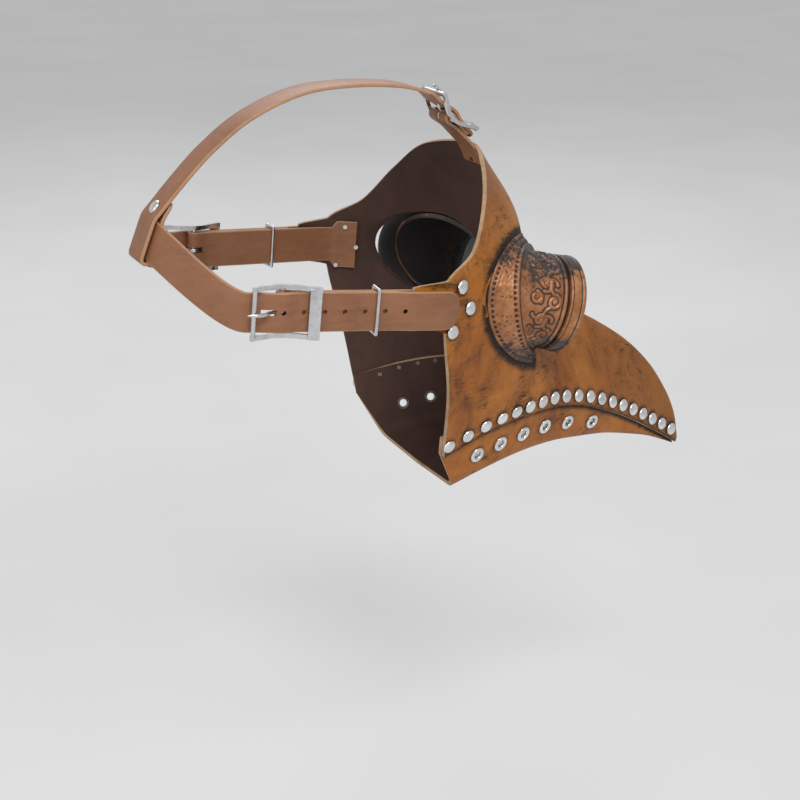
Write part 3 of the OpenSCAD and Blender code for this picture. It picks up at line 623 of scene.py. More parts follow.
FA, FB = unit(np.cross(RN, [0, 0, 1])), unit(np.cross(RN, [0, 1, 0]))
K_ANG = 72
RIDGE_R, BARREL_R, RING_REAR = 28.5, 25.6, -10.7
tops, feet, foot_n, bases, rises = [], [], [], [], []
guess = (0.5, 0.2)
for i in range(K_ANG):
    a = 2 * math.pi * i / K_ANG
    top = on_ridge(a, RIDGE_R)
    uv = find_uv(RC + 1.2 * (top - RC), FA, FB, guess, 12 if i == 0 else 5)
    guess = uv
    foot = skin(*uv)
    rise = max(0.0, float((foot - top) @ RN) + 2.5)
    foot_n.append(skin_normal(*uv))
    tops.append(held(top + rise * RN, RIDGE_R, RING_REAR))
    feet.append(held(foot, RIDGE_R + 3.1, RING_REAR - 0.2))
    bases.append(foot)
    rises.append(rise)
tops, feet, foot_n, bases, rises = map(np.array, (tops, feet, foot_n, bases, rises))


def around(arr, a):
    """Periodic interpolation of a value given every 2*pi/K_ANG."""
    x = (np.asarray(a) / (2 * math.pi) * K_ANG) % K_ANG
    i = np.floor(x).astype(int) % K_ANG
    f = x - np.floor(x)
    f = f[:, None] if arr.ndim > 1 else f
    return between(arr[(i - 1) % K_ANG], arr[i], arr[(i + 1) % K_ANG], arr[(i + 2) % K_ANG], f)


# ---------------------------------------------------------------- rivets and eyelets: places on the left side
def v_at(x):
    """Place along the lower edge where it reaches x."""
    lo, hi = 0.0, 1.0
    for _ in range(18):
        m = (lo + hi) / 2
        lo, hi = (m, hi) if skin(1, m)[0] < x else (lo, m)
    return lo


def u_above(v, h):
    """Place across the skin at the height h above the lower edge."""
    lo, hi = 0.4, 1.0
    for _ in range(16):
        m = (lo + hi) / 2
        lo, hi = (m, hi) if np.linalg.norm(skin(m, v) - skin(1, v)) > h else (lo, m)
    return lo


RIVETS = []
for i in range(19):
    t = i / 18
    v = v_at(46 + 183 * (1.14 * t - 0.14 * t * t))
    u = u_above(v, 6.3)
    RIVETS.append((skin(u, v), skin_normal(u, v)))
SIDE_RIVETS = []
for x, z in ((44.5, 9.4), (50.2, -3), (38.4, -13.3)):
    uv = find_uv(np.array([x, 0, z]), np.array([1.0, 0, 0]), np.array([0, 0, 1.0]), (0.62, 0.05), 10)
    SIDE_RIVETS.append((skin(*uv), skin_normal(*uv)))
EYELETS = []
for i in range(6):
    v = 0.075 + 0.06 * i + 0.0005 * i ** 3
    a, b = skin(1, v, SHELL_T + LAP), spline(CORNER, v)
    nrm = unit(np.cross(b - a, spline(CORNER, v + 0.01) - spline(CORNER, v - 0.01)))
    EYELETS.append((a + 0.48 * (b - a), -nrm if nrm[1] < 0 else nrm))


def tree_of(points):
    t = kdtree.KDTree(len(points))
    for i, p in enumerate(points):
        t.insert(Vector(p), i)
    t.balance()
    return t


def shade_of(points, groups, base=0.0):
    """Darkening gathered round features, dark paint round rivets and eyelets and painted shade in creases and
    grooves: groups are (points, reach, depth).
    """
    res = np.full(len(points), base, float)
    for pts, reach, depth in groups:
        t = tree_of(pts)
        d = np.array([t.find(Vector(p))[2] for p in points])
        res = np.maximum(res, depth * np.clip(1 - d / reach, 0, 1) ** 1.2)
    return np.clip(res, 0, 1)


def both(points):
    points = np.asarray(points, float)
    return np.vstack([points, points * FLIP])


# ---------------------------------------------------------------- face shell
def tab_shift(u, t):
    """How far the rear edge reaches back for the side strap's tab."""
    b = ease(u, 0.552, 0.577) - ease(u, 0.682, 0.702)
    return 17 * np.outer(np.maximum(1 - t / 0.04, 0) ** 2, b)[..., None] * (side_dir(-1, 0, 0) * FLIP)


def shell():
    tab_edges = [np.linspace(0.545, 0.585, 9), np.linspace(0.675, 0.71, 8)]
    u = np.unique(np.concatenate([np.linspace(0, 1, 72)] + tab_edges))
    t = np.unique(np.concatenate([np.linspace(0, 1, 120), np.linspace(0, 0.04, 9)]))
    layers = []
    for g, stretch in ((0, 1), (SHELL_T, 0.94)):
        p = skin_grid(u, stretch * t, g) + tab_shift(u, t)
        layers.append(np.concatenate([p[:, ::-1][:, :-1] * FLIP, p], 1))
    # hand-moulded waviness of the outside
    outer = layers[0].reshape(-1, 3).copy()
    for i, p in enumerate(outer):
        w = noise.fractal(Vector(p * 0.05), 1.0, 2.0, 4)
        outer[i] = p + unit(np.array([p[0] - 60, p[1] * 2, p[2] * 0.5])) * (0.22 * w)
    verts, faces, idx = wall_between(outer.reshape(layers[0].shape), layers[1])
    crease = skin_grid(np.array([1.0]), np.linspace(0, 1, 200))[:, 0]
    groove = np.array([q for q in bases + foot_n * 0.2 if (q - EYE) @ G < -8])
    halos = both([p + [-0.6, 0, 0.6] for p, n in RIVETS])
    side_halos = both([p for p, n in SIDE_RIVETS])
    # Dark paint round the rivets, painted shade in the groove round each eyepiece's skirt, and darker along
    # the lower edge.
    sh = shade_of(verts, [(halos, 8.2, 1.25), (side_halos, 8.0, 1.1), (both(groove), 7.5, 1.25),
                          (both(crease), 3.2, 0.75)])
    x, z = verts[:, 0], verts[:, 2]
    # Painted shade towards the beak's tip, and darker grime at the top of the forehead near the middle.
    front = 0.2 * ease(x, 170, 238) + 0.26 * ease(z, 18, 60) * ease(-np.abs(verts[:, 1]), -30, 0)
    sh = np.clip(np.maximum(sh, front), 0, 1)
    # Base colour darkened towards the beak's tip as painted shade, and towards the forehead as grime.
    dim = 0.5 * ease(x, 95, 215) + 0.45 * ease(z, 0, 60)
    mats = [MAT["mask"], MAT["inner"], MAT["edge"]]
    ob = make("face_shell_moulded", verts, faces, mats, idx, attrs={"patina_and_shade": sh, "front": dim})
    cuts = [cylinder(c - 60 * g, g, EYE_HOLE_R, 120, 64) for c, g in ((EYE, G), (EYE * FLIP, G * FLIP))]
    cut(ob, cuts, MAT["inner"])
    sharpen(ob, 40)
    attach(ob, "mask")
    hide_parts("face_shell")


# ---------------------------------------------------------------- jaw panel
def jaw_rows(g, last, nr, w):
    """Rows across the jaw at depth g: flange, wall, rounded corner and floor, both halves."""
    rows = []
    for v in np.linspace(0, last, nr):
        f = float(thin(v * 10))
        inset = SHELL_T + LAP + g
        us = np.linspace(u_above(v, 11 * (1 - 0.35 * v)), 1, 9)
        fl = skin_grid(us, np.array([v]), inset)[0]
        top = fl[-1]
        low = spline(CORNER, v) + np.array([0, -g * f, g * f])
        mid = np.array([low[0], 0, low[2] - 1.2 * f])
        r = 6 * min(1, low[1] / 14)
        p, q = low + r * unit(top - low), low + r * unit(mid - low)
        out = []
        for x in w:
            if x < 0.25:
                k = x * 4 * 8
                i = int(k)
                out.append(fl[i] + (fl[min(i + 1, 8)] - fl[i]) * (k - i))
            elif x < 0.5:
                out.append(top + (p - top) * (x - 0.25) * 4)
            elif x < 0.75:
                s = (x - 0.5) * 4
                out.append((1 - s) ** 2 * p + 2 * s * (1 - s) * low + s * s * q)
            else:
                out.append(q + (mid - q) * (x - 0.75) * 4)
        out = np.array(out)
        rows.append(np.vstack([out * FLIP, out[::-1][1:]]))
    return np.array(rows)


def jaw():
    w = np.concatenate([np.linspace(0, 0.25, 7)[:-1], np.linspace(0.25, 0.5, 12)[:-1],
                        np.linspace(0.5, 0.75, 9)[:-1], np.linspace(0.75, 1, 7)])
    nr = 90
    verts, faces, idx = wall_between(jaw_rows(0, 0.9, nr, w), jaw_rows(JAW_T, 0.84, nr, w))
    crease = skin_grid(np.array([1.0]), np.linspace(0, 1, 240), SHELL_T + LAP)[:, 0]
    halos = both([p + [-0.5, 0, 0.5] for p, n in EYELETS])
    corner = both(spline(CORNER, np.linspace(0, 1, 200)))
    # Dark paint round the eyelets, painted shadow along the crease under the shell's lower edge, and darker
    # along the lower corner.
    sh = shade_of(verts, [(halos, 9, 1.15), (both(crease), 4.5, 1.0), (corner, 4.5, 0.45)])
    mats = [MAT["mask"], MAT["inner"], MAT["edge"]]
    ob = make("jaw_panel_moulded", verts, faces, mats, idx, attrs={"patina_and_shade": sh})
    holes = [cylinder(p * m, n * m, JAW_HOLE_R, 12, 24) for p, n in EYELETS for m in (np.ones(3), FLIP)]
    cut(ob, holes, MAT["edge"])
    sharpen(ob, 40)
    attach(ob, "mask")
    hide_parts("jaw_panel")


# ---------------------------------------------------------------- rivets and eyelets
def lathe_parts(profile, places, seg=36):
    """Copies of a revolved (r, z) profile at (point, normal) places."""
    prof = np.array(profile, float)
    vs, fs, base = [], [], 0
    for p, n in places:
        n = unit(n)
        a = unit(np.cross(n, [0, 0.2, 1.0]))
        b = np.cross(n, a)
        w = np.linspace(0, 2 * math.pi, seg, endpoint=False)
        ring = np.outer(np.cos(w), a) + np.outer(np.sin(w), b)
        v = (p + prof[:, None, 1:] * n + prof[:, None, :1] * ring[None]).reshape(-1, 3)
        closed = abs(prof[0][0]) > 1e-6
        fs += grid_quads(len(prof), seg, wrap_r=closed, wrap_c=True, base=base).tolist()
        if not closed:
            fs += [[base + i for i in range(seg)], [base + (len(prof) - 1) * seg + i for i in range(seg)]]
        vs.append(v)
        base += len(v)
    return np.vstack(vs), fs


def dome_profile(shank, r=RIVET_R, h=RIVET_H):
    """A rivet's (r, z) outline: a shank below the leather and a domed head above it."""
    pts = [(0, -shank), (1.2, -shank), (1.3, -shank + 0.15), (1.3, 0), (r - 0.25, 0), (r, 0.12)]
    for a in np.linspace(0.12, math.pi / 2, 9)[:-1]:
        pts.append((r * math.cos(a) ** 0.85, 0.12 + (h - 0.12) * math.sin(a)))
    return pts + [(0, h)]


def add_lathe(name, node, profile, places, mat):
    v, f = lathe_parts(profile, places)
    ob = make(name, v, f, [mat])
    sharpen(ob, 50)
    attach(ob, "mask")
    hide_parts(node)


def rivets():
    eye_prof = [(2.2, -2.5), (3.5, -2.5), (3.6, -2.1), (2.8, -2.05), (2.8, 0.05), (4.3, 0.08), (4.5, 0.25),
                (4.3, 0.6), (3.7, 0.88), (3.1, 0.95), (2.6, 0.85), (2.3, 0.55), (2.2, 0.1)]
    for side, m in (("left", 1), ("right", -1)):
        fl = np.array([1, m, 1.0])
        vs, fs, base = [], [], 0
        for p0, n0 in RIVETS:
            p, n = (p0 + 0.15 * n0) * fl, unit(n0 + RNG.normal(0, 0.035, 3)) * fl
            reach = min(4.4, abs(p[1]) - 0.5)
            v, f = lathe_parts(dome_profile(max(reach, 0.8)), [(p, n)])
            vs.append(v)
            fs += [[k + base for k in q] for q in f]
            base += len(v)
        ob = make("jaw_rivet_domes_" + side, np.vstack(vs), fs, [MAT["nickel"]])
        sharpen(ob, 50)
        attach(ob, "mask")
        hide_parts("jaw_rivets_" + side)
        add_lathe("side_rivet_domes_" + side, "side_rivets_" + side, dome_profile(5.2),
                  [((p + 0.1 * n) * fl, n * fl) for p, n in SIDE_RIVETS], MAT["nickel"])
        add_lathe("jaw_eyelet_rings_" + side, "jaw_eyelets_" + side, eye_prof,
                  [(p * fl, n * fl) for p, n in EYELETS], MAT["nickel"])
    n = skin_normal(0.0001, 0.03)
    add_lathe("forehead_rivet_dome", "forehead_rivet", dome_profile(5.2),
              [(skin(0, 0.03) + np.array([0.1, 0, 0.06]), unit([n[0], 0, n[2]]))], MAT["dark"])
    n = np.array([-0.78, 0, 0.62])
    add_lathe("loop_rivet_dome", "loop_rivet", dome_profile(4.9),
              [(np.array([-90.9, 0, 48.7]) + 1.1 * n, n)], MAT["nickel"])


# ---------------------------------------------------------------- eyepieces
def skirt():
    na, nt = 540, 44
    ang = np.linspace(0, 2 * math.pi, na, endpoint=False)
    top, foot, fn = around(tops, ang), around(feet, ang), around(foot_n, ang)
    rise = around(rises, ang)
    inner = np.array([held(on_ridge(a, BARREL_R) + k * RN, BARREL_R, RING_REAR) for a, k in zip(ang, rise)])
    t = np.linspace(0, 1, nt)
    P = top[:, None] + (foot + 0.15 * fn - top)[:, None] * t[None, :, None]
    run = np.gradient(P, axis=0)
    nrm = unit(np.cross(run, P[:, -1:] - P[:, :1] + 0 * run))
    if (nrm[0, 0] @ (top[0] - RC)) < 0:
        nrm = -nrm
    arc = ang[:, None] * 31 + 0 * t[None]
    length = np.linalg.norm(foot - top, axis=1)[:, None]
    s = t[None] * length
    # rows of square stitch holes near each edge, and lace in between
    pitch1, pitch2 = 2 * math.pi * 31 / 62, 2 * math.pi * 31 / 74

    def dots(row, pitch, size):
        x = (arc / pitch) % 1 - 0.5
        d = np.maximum(np.abs(x) * pitch / size, np.abs(s - row) / (size * 0.8))
        return np.clip(1.6 - d * 1.1, 0, 1)

    near_top = dots(1.9, pitch1, 0.85)
    near_foot = dots(length - 2.4, pitch2, 0.75)
    lace = np.zeros_like(s)
    mid = (s > 3.2) & (s < length - 3.8)
    ii, jj = np.nonzero(mid)
    for i, j in zip(ii, jj):
        q = Vector((arc[i, j] * 0.42, s[i, j] * 0.42, 0.3))
        d = noise.voronoi(q)[0]
        cell = d[1] - d[0]
        fade = min(1, (s[i, j] - 3.2), (length[i, 0] - 3.8 - s[i, j]))
        lace[i, j] = max(0.0, min(1.0, (cell - 0.16) * 2.2)) * fade
    lace = np.clip(lace, 0, 1)
    # raised lines: the ridge, one each side of the lace, and the rolled foot
    h = -0.6 * near_top - 0.55 * near_foot - 0.38 * lace
    for height, row, width in ((0.55, 0.35, 0.45), (0.25, 3.1, 0.3), (0.25, length - 3.7, 0.3),
                               (0.5, length - 0.6, 0.55)):
        h = h + height * np.exp(-((s - row) / width) ** 2)
    P = P + nrm * h[..., None]
    cav = np.maximum(np.maximum(near_top, near_foot) * 1.2, lace * 0.55)
    cav = np.clip(cav + 0.35 * np.exp(-((length - s) / 0.8) ** 2), 0, 1)
    back = inner - 2.0 * (0.5 * RN + 0.5 * G)
    foot_in = foot - 2.2 * unit(foot - RC) - 0.3 * fn
    brow = inner * 0.35 + top * 0.65 + 0.15 * RN
    allp = np.concatenate([inner[:, None], brow[:, None], P, (foot - 0.3 * fn)[:, None], foot_in[:, None],
                           back[:, None]], 1)
    nc = allp.shape[1]
    cavall = np.concatenate([np.full((na, 1), 0.9), np.full((na, 1), 0.35), cav, np.full((na, 3), 1.0)], 1)
    quads = grid_quads(na, nc, wrap_r=True, wrap_c=True)
    return make("eye_skirt_lace_left", allp.reshape(-1, 3), quads, [MAT["lace"]],
                attrs={"cavity": cavall.ravel()})


def spokes(count):
    """Angles round the eye's axis, and the directions that they point in."""
    ang = np.linspace(0, 2 * math.pi, count, endpoint=False)
    return ang, np.outer(np.cos(ang), E1) + np.outer(np.sin(ang), E2)


def scroll_points():
    """Centre lines of the barrel's scrollwork, as points (arc mm, z mm)."""
    pts = []
    def spiral(x, z, r0, turns, start, hand):
        for a in np.linspace(0, turns * 2 * math.pi, int(60 * turns)):
            r = r0 * (1 - a / (turns * 2 * math.pi)) ** 0.8
            pts.append((x + r * math.cos(start + hand * a), z + r * math.sin(start + hand * a)))
    def leaf(x, z, length, direction, bend):
        for q in np.linspace(0, 1, 24):
            a = direction + bend * q
            pts.append((x + length * q * math.cos(a), z + length * q * math.sin(a)))
    motifs = 8
    for k in range(motifs):
        x0 = (k + 0.25) * 160.2 / motifs
        spiral(x0, -19.5, 4.0, 1.5, 0.3, 1)
        spiral(x0 + 9.2, -25.0, 4.4, 1.5, 3.4, -1)
        leaf(x0 + 4, -20, 7, -1.1, 0.9)
        leaf(x0 - 3.6, -21.5, 7, -2.0, -0.8)
        leaf(x0 + 9, -18, 5, 0.2, -1.2)
        leaf(x0 + 4.5, -30, 6, 1.9, 0.8)
        spiral(x0 + 1.5, -30.5, 3.2, 1.3, 1.2, 1)
        leaf(x0 + 12, -31, 6, 2.6, -0.9)
    return np.array(pts)


def barrel():
    na, nz = 560, 84
    ang, dirs = spokes(na)
    cutp = RC - 6 * RN
    front = -14.2
    sp = scroll_points()
    circ = 2 * math.pi * 25.5
    wrap = np.vstack([sp, sp + [circ, 0], sp - [circ, 0]])
    tree = tree_of(np.c_[wrap, np.zeros(len(wrap))])
    zend = np.array([((cutp - EYE - 25.3 * d) @ RN) / (G @ RN) for d in dirs])
    ridge_z = np.array([((RC - EYE - 26 * d) @ RN) / (G @ RN) for d in dirs])
    zroot = np.minimum(ridge_z + around(rises, ang) / (G @ RN), RING_REAR)
    prof = [(22.6, -8.72), (23.1, -8.72), (23.18, -9.4), (23.9, -9.55), (23.9, -10.6), (24.1, -11.1),
            (24.9, -11.5), (25.6, -11.8), (25.9, -12.3), (25.9, -12.9), (25.6, -13.4), (25.05, -13.7)]
    rows, cav = [], []
    for r, z in prof:
        rows.append(EYE + r * dirs + z * G)
        cav.append(np.full(na, 0.95 if r < 24.5 and z < -9 else (0.15 if r > 25.5 else 0.6)))
    for k in range(nz):
        q = k / (nz - 1)
        z = front + (zend - front) * q
        arc = ang * 25.5
        d = np.array([tree.find(Vector((arc[i], z[i], 0)))[2] for i in range(na)])
        fade = ease(front - z, 0.3, 2.0) * ease(z - zroot, 0.4, 2.5)
        relief = 0.85 * np.exp(-(d / 0.75) ** 2) * fade
        flare = 1.1 * ease(-(z - zroot), -3.0, 0.5)
        behind = z < zroot - 0.2
        r = 25.2 + relief + np.where(behind, 0, flare)
        rows.append(EYE + r[:, None] * dirs + z[:, None] * G)
        c = np.clip(np.exp(-((d - 1.35) / 0.5) ** 2) * 0.95 + 0.15 * (d > 2.2), 0, 1) * fade
        c = np.maximum(c, 0.85 * np.exp(-((front - z) / 0.5) ** 2))
        c = np.maximum(c, 0.6 * np.exp(-((z - zroot) / 0.8) ** 2))
        cav.append(c)
    rows.append(EYE + 22.6 * dirs + (zend + 0.2)[:, None] * G)
    cav.append(np.full(na, 1.0))
    quads = grid_quads(len(rows), na, wrap_r=True, wrap_c=True)
    return make("eye_barrel_scrolled_left", np.array(rows).reshape(-1, 3), quads, [MAT["copper"]],
                attrs={"cavity": np.array(cav).ravel()})


def bezel():
    prof = [(21.0, -3.0), (21.0, -0.5), (21.25, -0.15), (21.7, 0.0), (23.2, -0.05), (23.5, -0.25),
            (23.8, -0.1), (25.0, -0.15), (25.8, -0.45), (26.3, -0.95), (26.5, -1.6), (26.5, -2.3),
            (26.3, -2.75), (25.95, -2.95), (25.9, -3.3), (26.0, -3.6), (26.05, -5.5), (26.0, -7.6),
            (25.95, -7.9), (25.6, -8.05), (25.6, -8.3), (25.9, -8.45), (25.95, -8.9), (25.6, -9.3),
            (25.2, -9.48), (23.2, -9.48), (23.2, -3.0)]
    na = 180
    dirs = spokes(na)[1]
    rows = np.array([EYE + r * dirs + z * G for r, z in prof])
    cav = []
    for r, z in prof:
        c = 0.05
        if abs(r - 25.9) < 0.08 and -3.4 < z < -2.8 or r == 23.5 or abs(r - 25.6) < 0.05 and -8.5 < z < -7.9:
            c = 0.9
        if r < 21.5 or z > -0.5 and r > 25.5:
            c = max(c, 0.55)
        cav.append(np.full(na, c))
    quads = grid_quads(len(rows), na, wrap_r=True, wrap_c=True)
    return make("eye_bezel_ring_left", rows.reshape(-1, 3), quads, [MAT["copper_ring"]],
                attrs={"cavity": np.array(cav).ravel()})


def lens():
    prof = [(0.0, -2.6)] + [(r, -2.6 - 0.42 * (r / 22.9) ** 2) for r in np.linspace(2, 22.9, 14)]
    prof += [(22.9, -4.98), (0.0, -4.98)]
    v, f = lathe_parts(prof, [(EYE, G)], 120)
    return make("eye_lens_glass_left", v, f, [MAT["glass"]])


def add_pole(ob):
    me = ob.data
    co = np.zeros(len(me.vertices) * 3, np.float32)
    me.vertices.foreach_get("co", co)
    d = co.reshape(-1, 3) * 1000 - EYE
    d = d - (d @ G)[:, None] * G
    pole = me.attributes.new("pole", "FLOAT", "POINT")
    pole.data.foreach_set("value", np.abs(unit(d + 1e-6) @ E2).astype(np.float32))


def eyepieces():
    for fn, nodes, slot in ((skirt, "eye_skirt_", "lace_leather"), (barrel, "eye_barrel_", "copper_paint"),
                            (bezel, "eye_bezel_", "copper_paint"), (lens, "lens_", "lens_glass")):
        left = fn()
        add_pole(left)
        sharpen(left, 55 if fn is not skirt else 70)
        right = mirrored(left, left.name.replace("_left", "_right"))
        for ob, side in ((left, "left"), (right, "right")):
            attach(ob, "mask")
            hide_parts(nodes + side)


# ---------------------------------------------------------------- straps
STRAP_W, STRAP_T = 20.0, 1.8
PUNCH_R, PITCH = 1.35, 10.5


def back_strap():
    tip = 92.4 - 9 * (1 - np.cos(np.linspace(0, math.pi / 2, 12))) ** 1.0
    s = np.concatenate([tip, np.linspace(82, 12, 36), np.linspace(11, -17.5, 40)[:-1]])
    pts = [side_point(x, side_tail(x)) for x in s]
    acr = [side_dir(0, 0, 1)] * len(s)
    hw = list(STRAP_W / 2 * np.maximum(1 - (np.maximum(s - 84, 0) / 8.6) ** 2.4, 0.004) ** (1 / 2.4))
    a, da = side_point(-17.5, side_tail(-17.5)), side_dir(-40, 0, 0)
    b, db = np.array([-96.8, 0, 34.6]), np.array([0, 62.0, 0])
    for t in np.linspace(0, 1, 44):
        pts.append((2 * t ** 3 - 3 * t * t + 1) * a + (t ** 3 - 2 * t * t + t) * da
                   + (3 * t * t - 2 * t ** 3) * b + (t ** 3 - t * t) * db)
        k = float(ease(t, 0, 1))
        lean = math.radians(22)
        acr.append(side_dir(0, 0, 1) * (1 - k) + np.array([math.sin(lean), 0, math.cos(lean)]) * k)
        hw.append(STRAP_W / 2)
    pts, acr, hw = np.array(pts), np.array(acr), np.array(hw)
    pts = np.vstack([pts, pts[::-1][1:] * FLIP])
    acr = np.vstack([acr, acr[::-1][1:] * FLIP])
    hw = np.concatenate([hw, hw[::-1][1:]])
    acr, out = frames_along(pts, acr)
    ob = sweep("back_strap_leather", pts, acr, out, hw, STRAP_T, [MAT["strap"], MAT["strap_edge"]])
    cuts = []
    for m in (np.ones(3), FLIP):
        for i in range(7):
            x = i * PITCH
            cuts.append(cylinder(side_point(x, side_tail(x)) * m, side_dir(0, 1, 0) * m, PUNCH_R, 5, 20))
        corners, faces = block(side_point(-7.35, 3.4), side_dir, (-3.95, 3.95))
        cuts.append((corners * m, faces))
    cut(ob, cuts, MAT["strap_edge"])
    sharpen(ob, 45)
    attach(ob, "mask")
    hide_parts("back_strap")


def back_side(a, b):
    w = math.radians(22)
    return (-96.8 + a * math.sin(w) - b * math.cos(w), 34.6 + a * math.cos(w) + b * math.sin(w))


def top_xz(s, n):
    p = top_point(s, n)
    return (p[0], p[2])


def even(path, step=1.2):
    """The same path with its points a step apart."""
    path = np.asarray(path, float)
    d = np.r_[0, np.cumsum(np.linalg.norm(np.diff(path, axis=0), axis=1))]
    s = np.linspace(0, d[-1], max(int(d[-1] / step), 4))
    return np.stack([np.interp(s, d, path[:, k]) for k in range(path.shape[1])], 1)


def relax(path, n=3):
    p = np.array(path, float)
    for _ in range(n):
        p[1:-1] = 0.25 * p[:-2] + 0.5 * p[1:-1] + 0.25 * p[2:]
    return p


def crown_strap():
    tail = [top_xz(s, weave(s, CROWN_HALF)) for s in [19, 14, 9, *np.arange(7, -14, -1.0)]]
    over = [top_xz(-16.5, 2.4), (41, 101.4), (13, 103.5), (-14.5, 101.3), (-42, 91), (-63, 76.5), (-79, 61.5),
            back_side(14.5, 0.3)]
    over = [tuple(p) for p in spline(np.array(over), np.linspace(0, 1, 60))]
    loop = [back_side(12, 1.4), back_side(9.5, 2.2), back_side(5, 2.25), back_side(-5, 2.25),
            back_side(-10.4, 2.25)]
    for a in np.radians(range(15, 180, 15)):
        loop.append(back_side(-10.4 - 2.25 * math.sin(a), 2.25 * math.cos(a)))
    loop += [back_side(-10.4, -2.25), back_side(0, -2.25), back_side(8, -2.1), back_side(12, -2.2),
             back_side(16.5, -3.1), back_side(20.5, -4.5)]
    path = relax(even(tail + over + loop, 0.9), 2)
    pts = np.c_[path[:, 0], np.zeros(len(path)), path[:, 1]]
    acr, out = frames_along(pts, np.tile([0.0, 1, 0], (len(pts), 1)))
    d = np.r_[0, np.cumsum(np.linalg.norm(np.diff(pts, axis=0), axis=1))]
    hw = np.where(d < 8, 10 * np.maximum(1 - (np.maximum(7 - d, 0) / 7.3) ** 2.4, 0.01) ** (1 / 2.4), 10.0)
    rest = d[-1] - d
    hw = np.where(rest < 3, 10 - 0.8 * (3 - rest) ** 1.2, hw)
    ob = sweep("crown_strap_leather", pts, acr, out, hw, STRAP_T, [MAT["strap"], MAT["strap_edge"]])
    up = top_dir(0, 1, 0)
    cuts = [cylinder(top_point(s, weave(s, CROWN_HALF)), up, PUNCH_R, 5, 20) for s in (0, PITCH)]
    cuts.append(block(top_point(-7.5, 3.4), top_dir, (-4.7, 4.5)))
    cut(ob, cuts, MAT["strap_edge"])
    sharpen(ob, 45)
    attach(ob, "mask")
    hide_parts("crown_strap")


def folded(anchor, fold, end_w, end_from, point, direction):
    """Short strap folded round a buckle's bar: path from its plain end, round the bar, to the fold's end."""
    far = spline(np.array(anchor, float), np.linspace(1, 0, 24)).tolist()
    inner = [(s, -0.95) for s in np.arange(anchor[0][0] - 2, 9, -2.5)]
    neck = [(8, -1.0), (6.5, -1.15), (4.8, -1.5), (3.2, -2.0)]
    arc = [(2.55 * math.cos(a), 2.55 * math.sin(a)) for a in np.radians(range(-62, -299, -12))]
    outer = [(s, 0.95) for s in np.arange(9, fold + 0.1, 2.5)]
    path = far + inner + neck + arc + [(s, -n) for s, n in neck[::-1]] + outer
    path = relax(even(path, 0.8), 2)
    pts = np.array([point(s, n) for s, n in path])
    acr, out = frames_along(pts, np.tile(direction(0, 0, 1), (len(pts), 1)))
    wider = 10 + (end_w / 2 - 10) * ease(path[:, 0], end_from - 1, end_from + 3)
    hw = np.where((path[:, 0] > end_from) & (path[:, 1] < 0), wider, 9.9)
    return pts, acr, out, hw


def buckle_straps():
    side_anchor = [(61, -0.95), (68, -0.95), (75, -0.95), (80, -1.1), (85, -1.8), (90, -3.4), (95, -5.6),
                   (100, -8.1)]
    top_anchor = [(17, -0.95), (19.5, -0.95), (22, -1.05), (25.5, -1.8), (29, -3), (32.5, -4.4)]
    mats = [MAT["strap"], MAT["strap_edge"]]
    for name, anchor, fold, ew, ef, point, direc in (("right", side_anchor, 60, 27, 87, side_point, side_dir),
                                                     ("top", top_anchor, 16, 20, 50, top_point, top_dir)):
        pts, acr, out, hw = folded(anchor, fold, ew, ef, point, direc)
        ob = sweep("buckle_strap_folded_" + name, pts, acr, out, hw, STRAP_T, mats)
        cut(ob, [block(point(0, 0), direc, (-5, 5), (-5, 5), (-1.8, 1.8))], MAT["strap_edge"])
        sharpen(ob, 45)
        obs = [(ob, name)]
        if name == "right":
            obs.append((mirrored(ob, "buckle_strap_folded_left"), "left"))
        for o, side in obs:
            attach(o, "mask")
            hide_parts("buckle_strap_" + side)


# ---------------------------------------------------------------- buckles
def round_bar(path, radius, seg=14):
    """Tube along points with a radius for each point."""
    path = np.asarray(path, float)
    radius = np.broadcast_to(radius, len(path))
    run = unit(np.gradient(path, axis=0))
    ref = np.array([0.13, 0.21, 0.97])
    a = unit(np.cross(run, ref))
    b = np.cross(run, a)
    w = np.linspace(0, 2 * math.pi, seg, endpoint=False)
    ring = np.cos(w)[None, :, None] * a[:, None] + np.sin(w)[None, :, None] * b[:, None]
    v = (path[:, None] + radius[:, None, None] * ring).reshape(-1, 3)
    f = grid_quads(len(path), seg, wrap_c=True).tolist()
    return v, f + [list(range(seg)), [(len(path) - 1) * seg + i for i in range(seg)]]


def prongs():
    for name, half, point in (("right", SIDE_HALF, side_point), ("top", CROWN_HALF, top_point)):
        route = [(-1, 2.2), (-4.3, 1.95), (-7, 3.6), (-9.2, 6.4), (-half * 0.8, 8), (-half - 0.5, 8.2),
                 (-half - 3.6, 7.9)]
        path = spline(route, np.linspace(0, 1, 50))
        rad = np.concatenate([np.full(38, 0.95), np.linspace(0.95, 0.75, 8), [0.68, 0.58, 0.42, 0.2]])
        v1, f1 = round_bar([point(s, n) for s, n in path], rad, 14)
        w = np.linspace(0, 2 * math.pi, 40, endpoint=False)
        turn = np.linspace(0, 2 * math.pi, 14, endpoint=False)
        sec = [(2.22 + 0.62 * math.cos(a), 1.05 * math.sin(a)) for a in turn]
        ring = np.array([[point(r * math.cos(x), r * math.sin(x), t) for r, t in sec] for x in w])
        f2 = grid_quads(40, 14, wrap_r=True, wrap_c=True, base=len(v1)).tolist()
        ob = make("tongue_steel_" + name, np.vstack([v1, ring.reshape(-1, 3)]), f1 + f2, [MAT["chrome"]])
        sharpen(ob, 60)
        obs = [(ob, name)]
        if name == "right":
            obs.append((mirrored(ob, "tongue_steel_left"), "left"))
        for o, side in obs:
            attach(o, "tongue_" + ("crown" if side == "top" else side))
            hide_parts("prong_" + side)


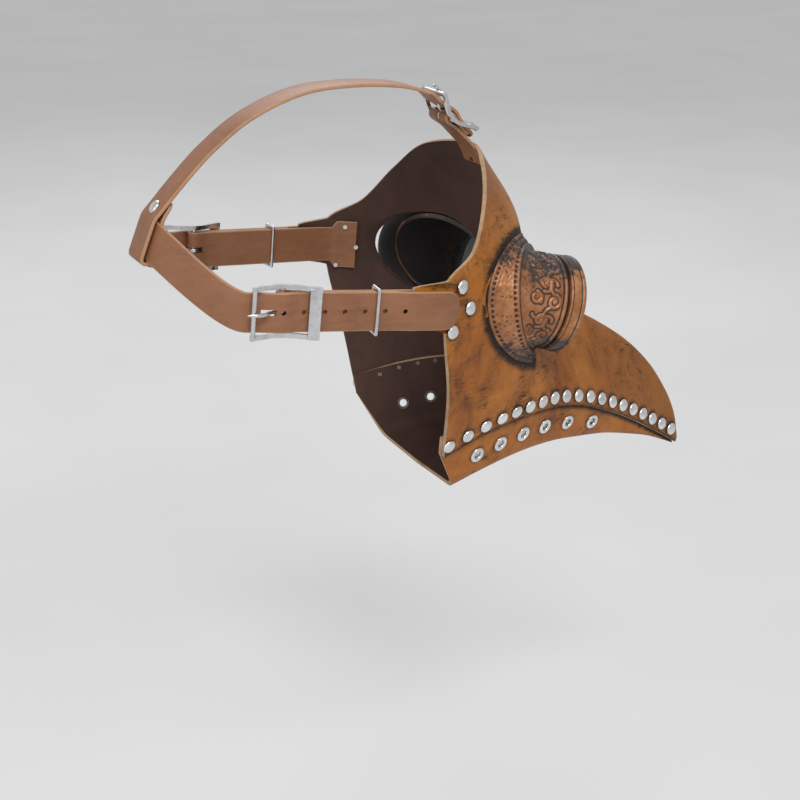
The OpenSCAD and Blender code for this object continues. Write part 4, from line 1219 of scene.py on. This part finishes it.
def kept_nodes():
    kept = {"buckle_frame_right": "chrome", "buckle_frame_left": "chrome", "buckle_frame_top": "chrome",
            "keeper_right": "chrome", "keeper_left": "chrome",
            "lens_retainer_right": "black", "lens_retainer_left": "black"}
    for key, mat in kept.items():
        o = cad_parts[key]
        o.data.materials.clear()
        o.data.materials.append(MAT[mat])
        if key.startswith("buckle"):
            m = o.modifiers.new("soft edges", "BEVEL")
            m.width, m.segments, m.limit_method, m.angle_limit = 0.00045, 3, "ANGLE", math.radians(40)


# ---------------------------------------------------------------- studio
def studio():
    size = 12
    v = [(-size, -size, -0.34), (size, -size, -0.34), (size, size, -0.34), (-size, size, -0.34)]
    me = bpy.data.meshes.new("floor")
    me.from_pydata(v, [], [(0, 1, 2, 3)])
    n = Nodes("pale_floor")
    f = n.noise(n.coord(), 3, 2)
    n.set(Base_Color=n.ramp(f, [(0.3, (0.47, 0.47, 0.475)), (0.7, (0.51, 0.51, 0.515))]), Roughness=0.9)
    n.b.inputs["Emission Color"].default_value = (1, 1, 1, 1)
    n.b.inputs["Emission Strength"].default_value = 0.17
    me.materials.append(n.m)
    floor = bpy.data.objects.new("floor", me)
    bpy.context.scene.collection.objects.link(floor)
    world = bpy.data.worlds.new("studio")
    world.use_nodes = True
    bg = world.node_tree.nodes["Background"]
    bg.inputs[0].default_value = (0.8, 0.805, 0.81, 1)
    bg.inputs[1].default_value = 0.7
    bpy.context.scene.world = world

    def area(name, pos, target, size, power, color=(1, 1, 1)):
        li = bpy.data.lights.new(name, "AREA")
        li.energy, li.size, li.color = power, size, color
        o = bpy.data.objects.new(name, li)
        o.location = pos
        o.rotation_euler = (Vector(target) - Vector(pos)).to_track_quat("-Z", "Y").to_euler()
        bpy.context.scene.collection.objects.link(o)
    area("key", (-0.15, -1.2, 1.35), (0.06, 0, -0.03), 0.7, 17)
    area("fill", (-1.4, -0.8, 0.5), (0, 0, 0), 1.0, 6)
    area("rim", (0.5, 1.3, 1.2), (0.05, 0, 0), 1.0, 12)
    sc = bpy.context.scene
    sc.view_settings.view_transform = "Standard"
    cam = bpy.data.cameras.new("camera")
    cam.lens, cam.sensor_width, cam.clip_start, cam.clip_end = 72.1, 36, 0.01, 50
    co = bpy.data.objects.new("camera", cam)
    az, el = math.radians(26), math.radians(20)
    c = Vector((-math.sin(az) * math.cos(el), -math.cos(az) * math.cos(el), math.sin(el)))
    target = Vector((0.0448, 0, -0.0752))
    co.location = target + 0.9 * c
    co.rotation_euler = (-c).to_track_quat("-Z", "Y").to_euler()
    sc.collection.objects.link(co)
    sc.camera = co


shell()
jaw()
rivets()
eyepieces()
back_strap()
crown_strap()
buckle_straps()
prongs()
kept_nodes()
studio()
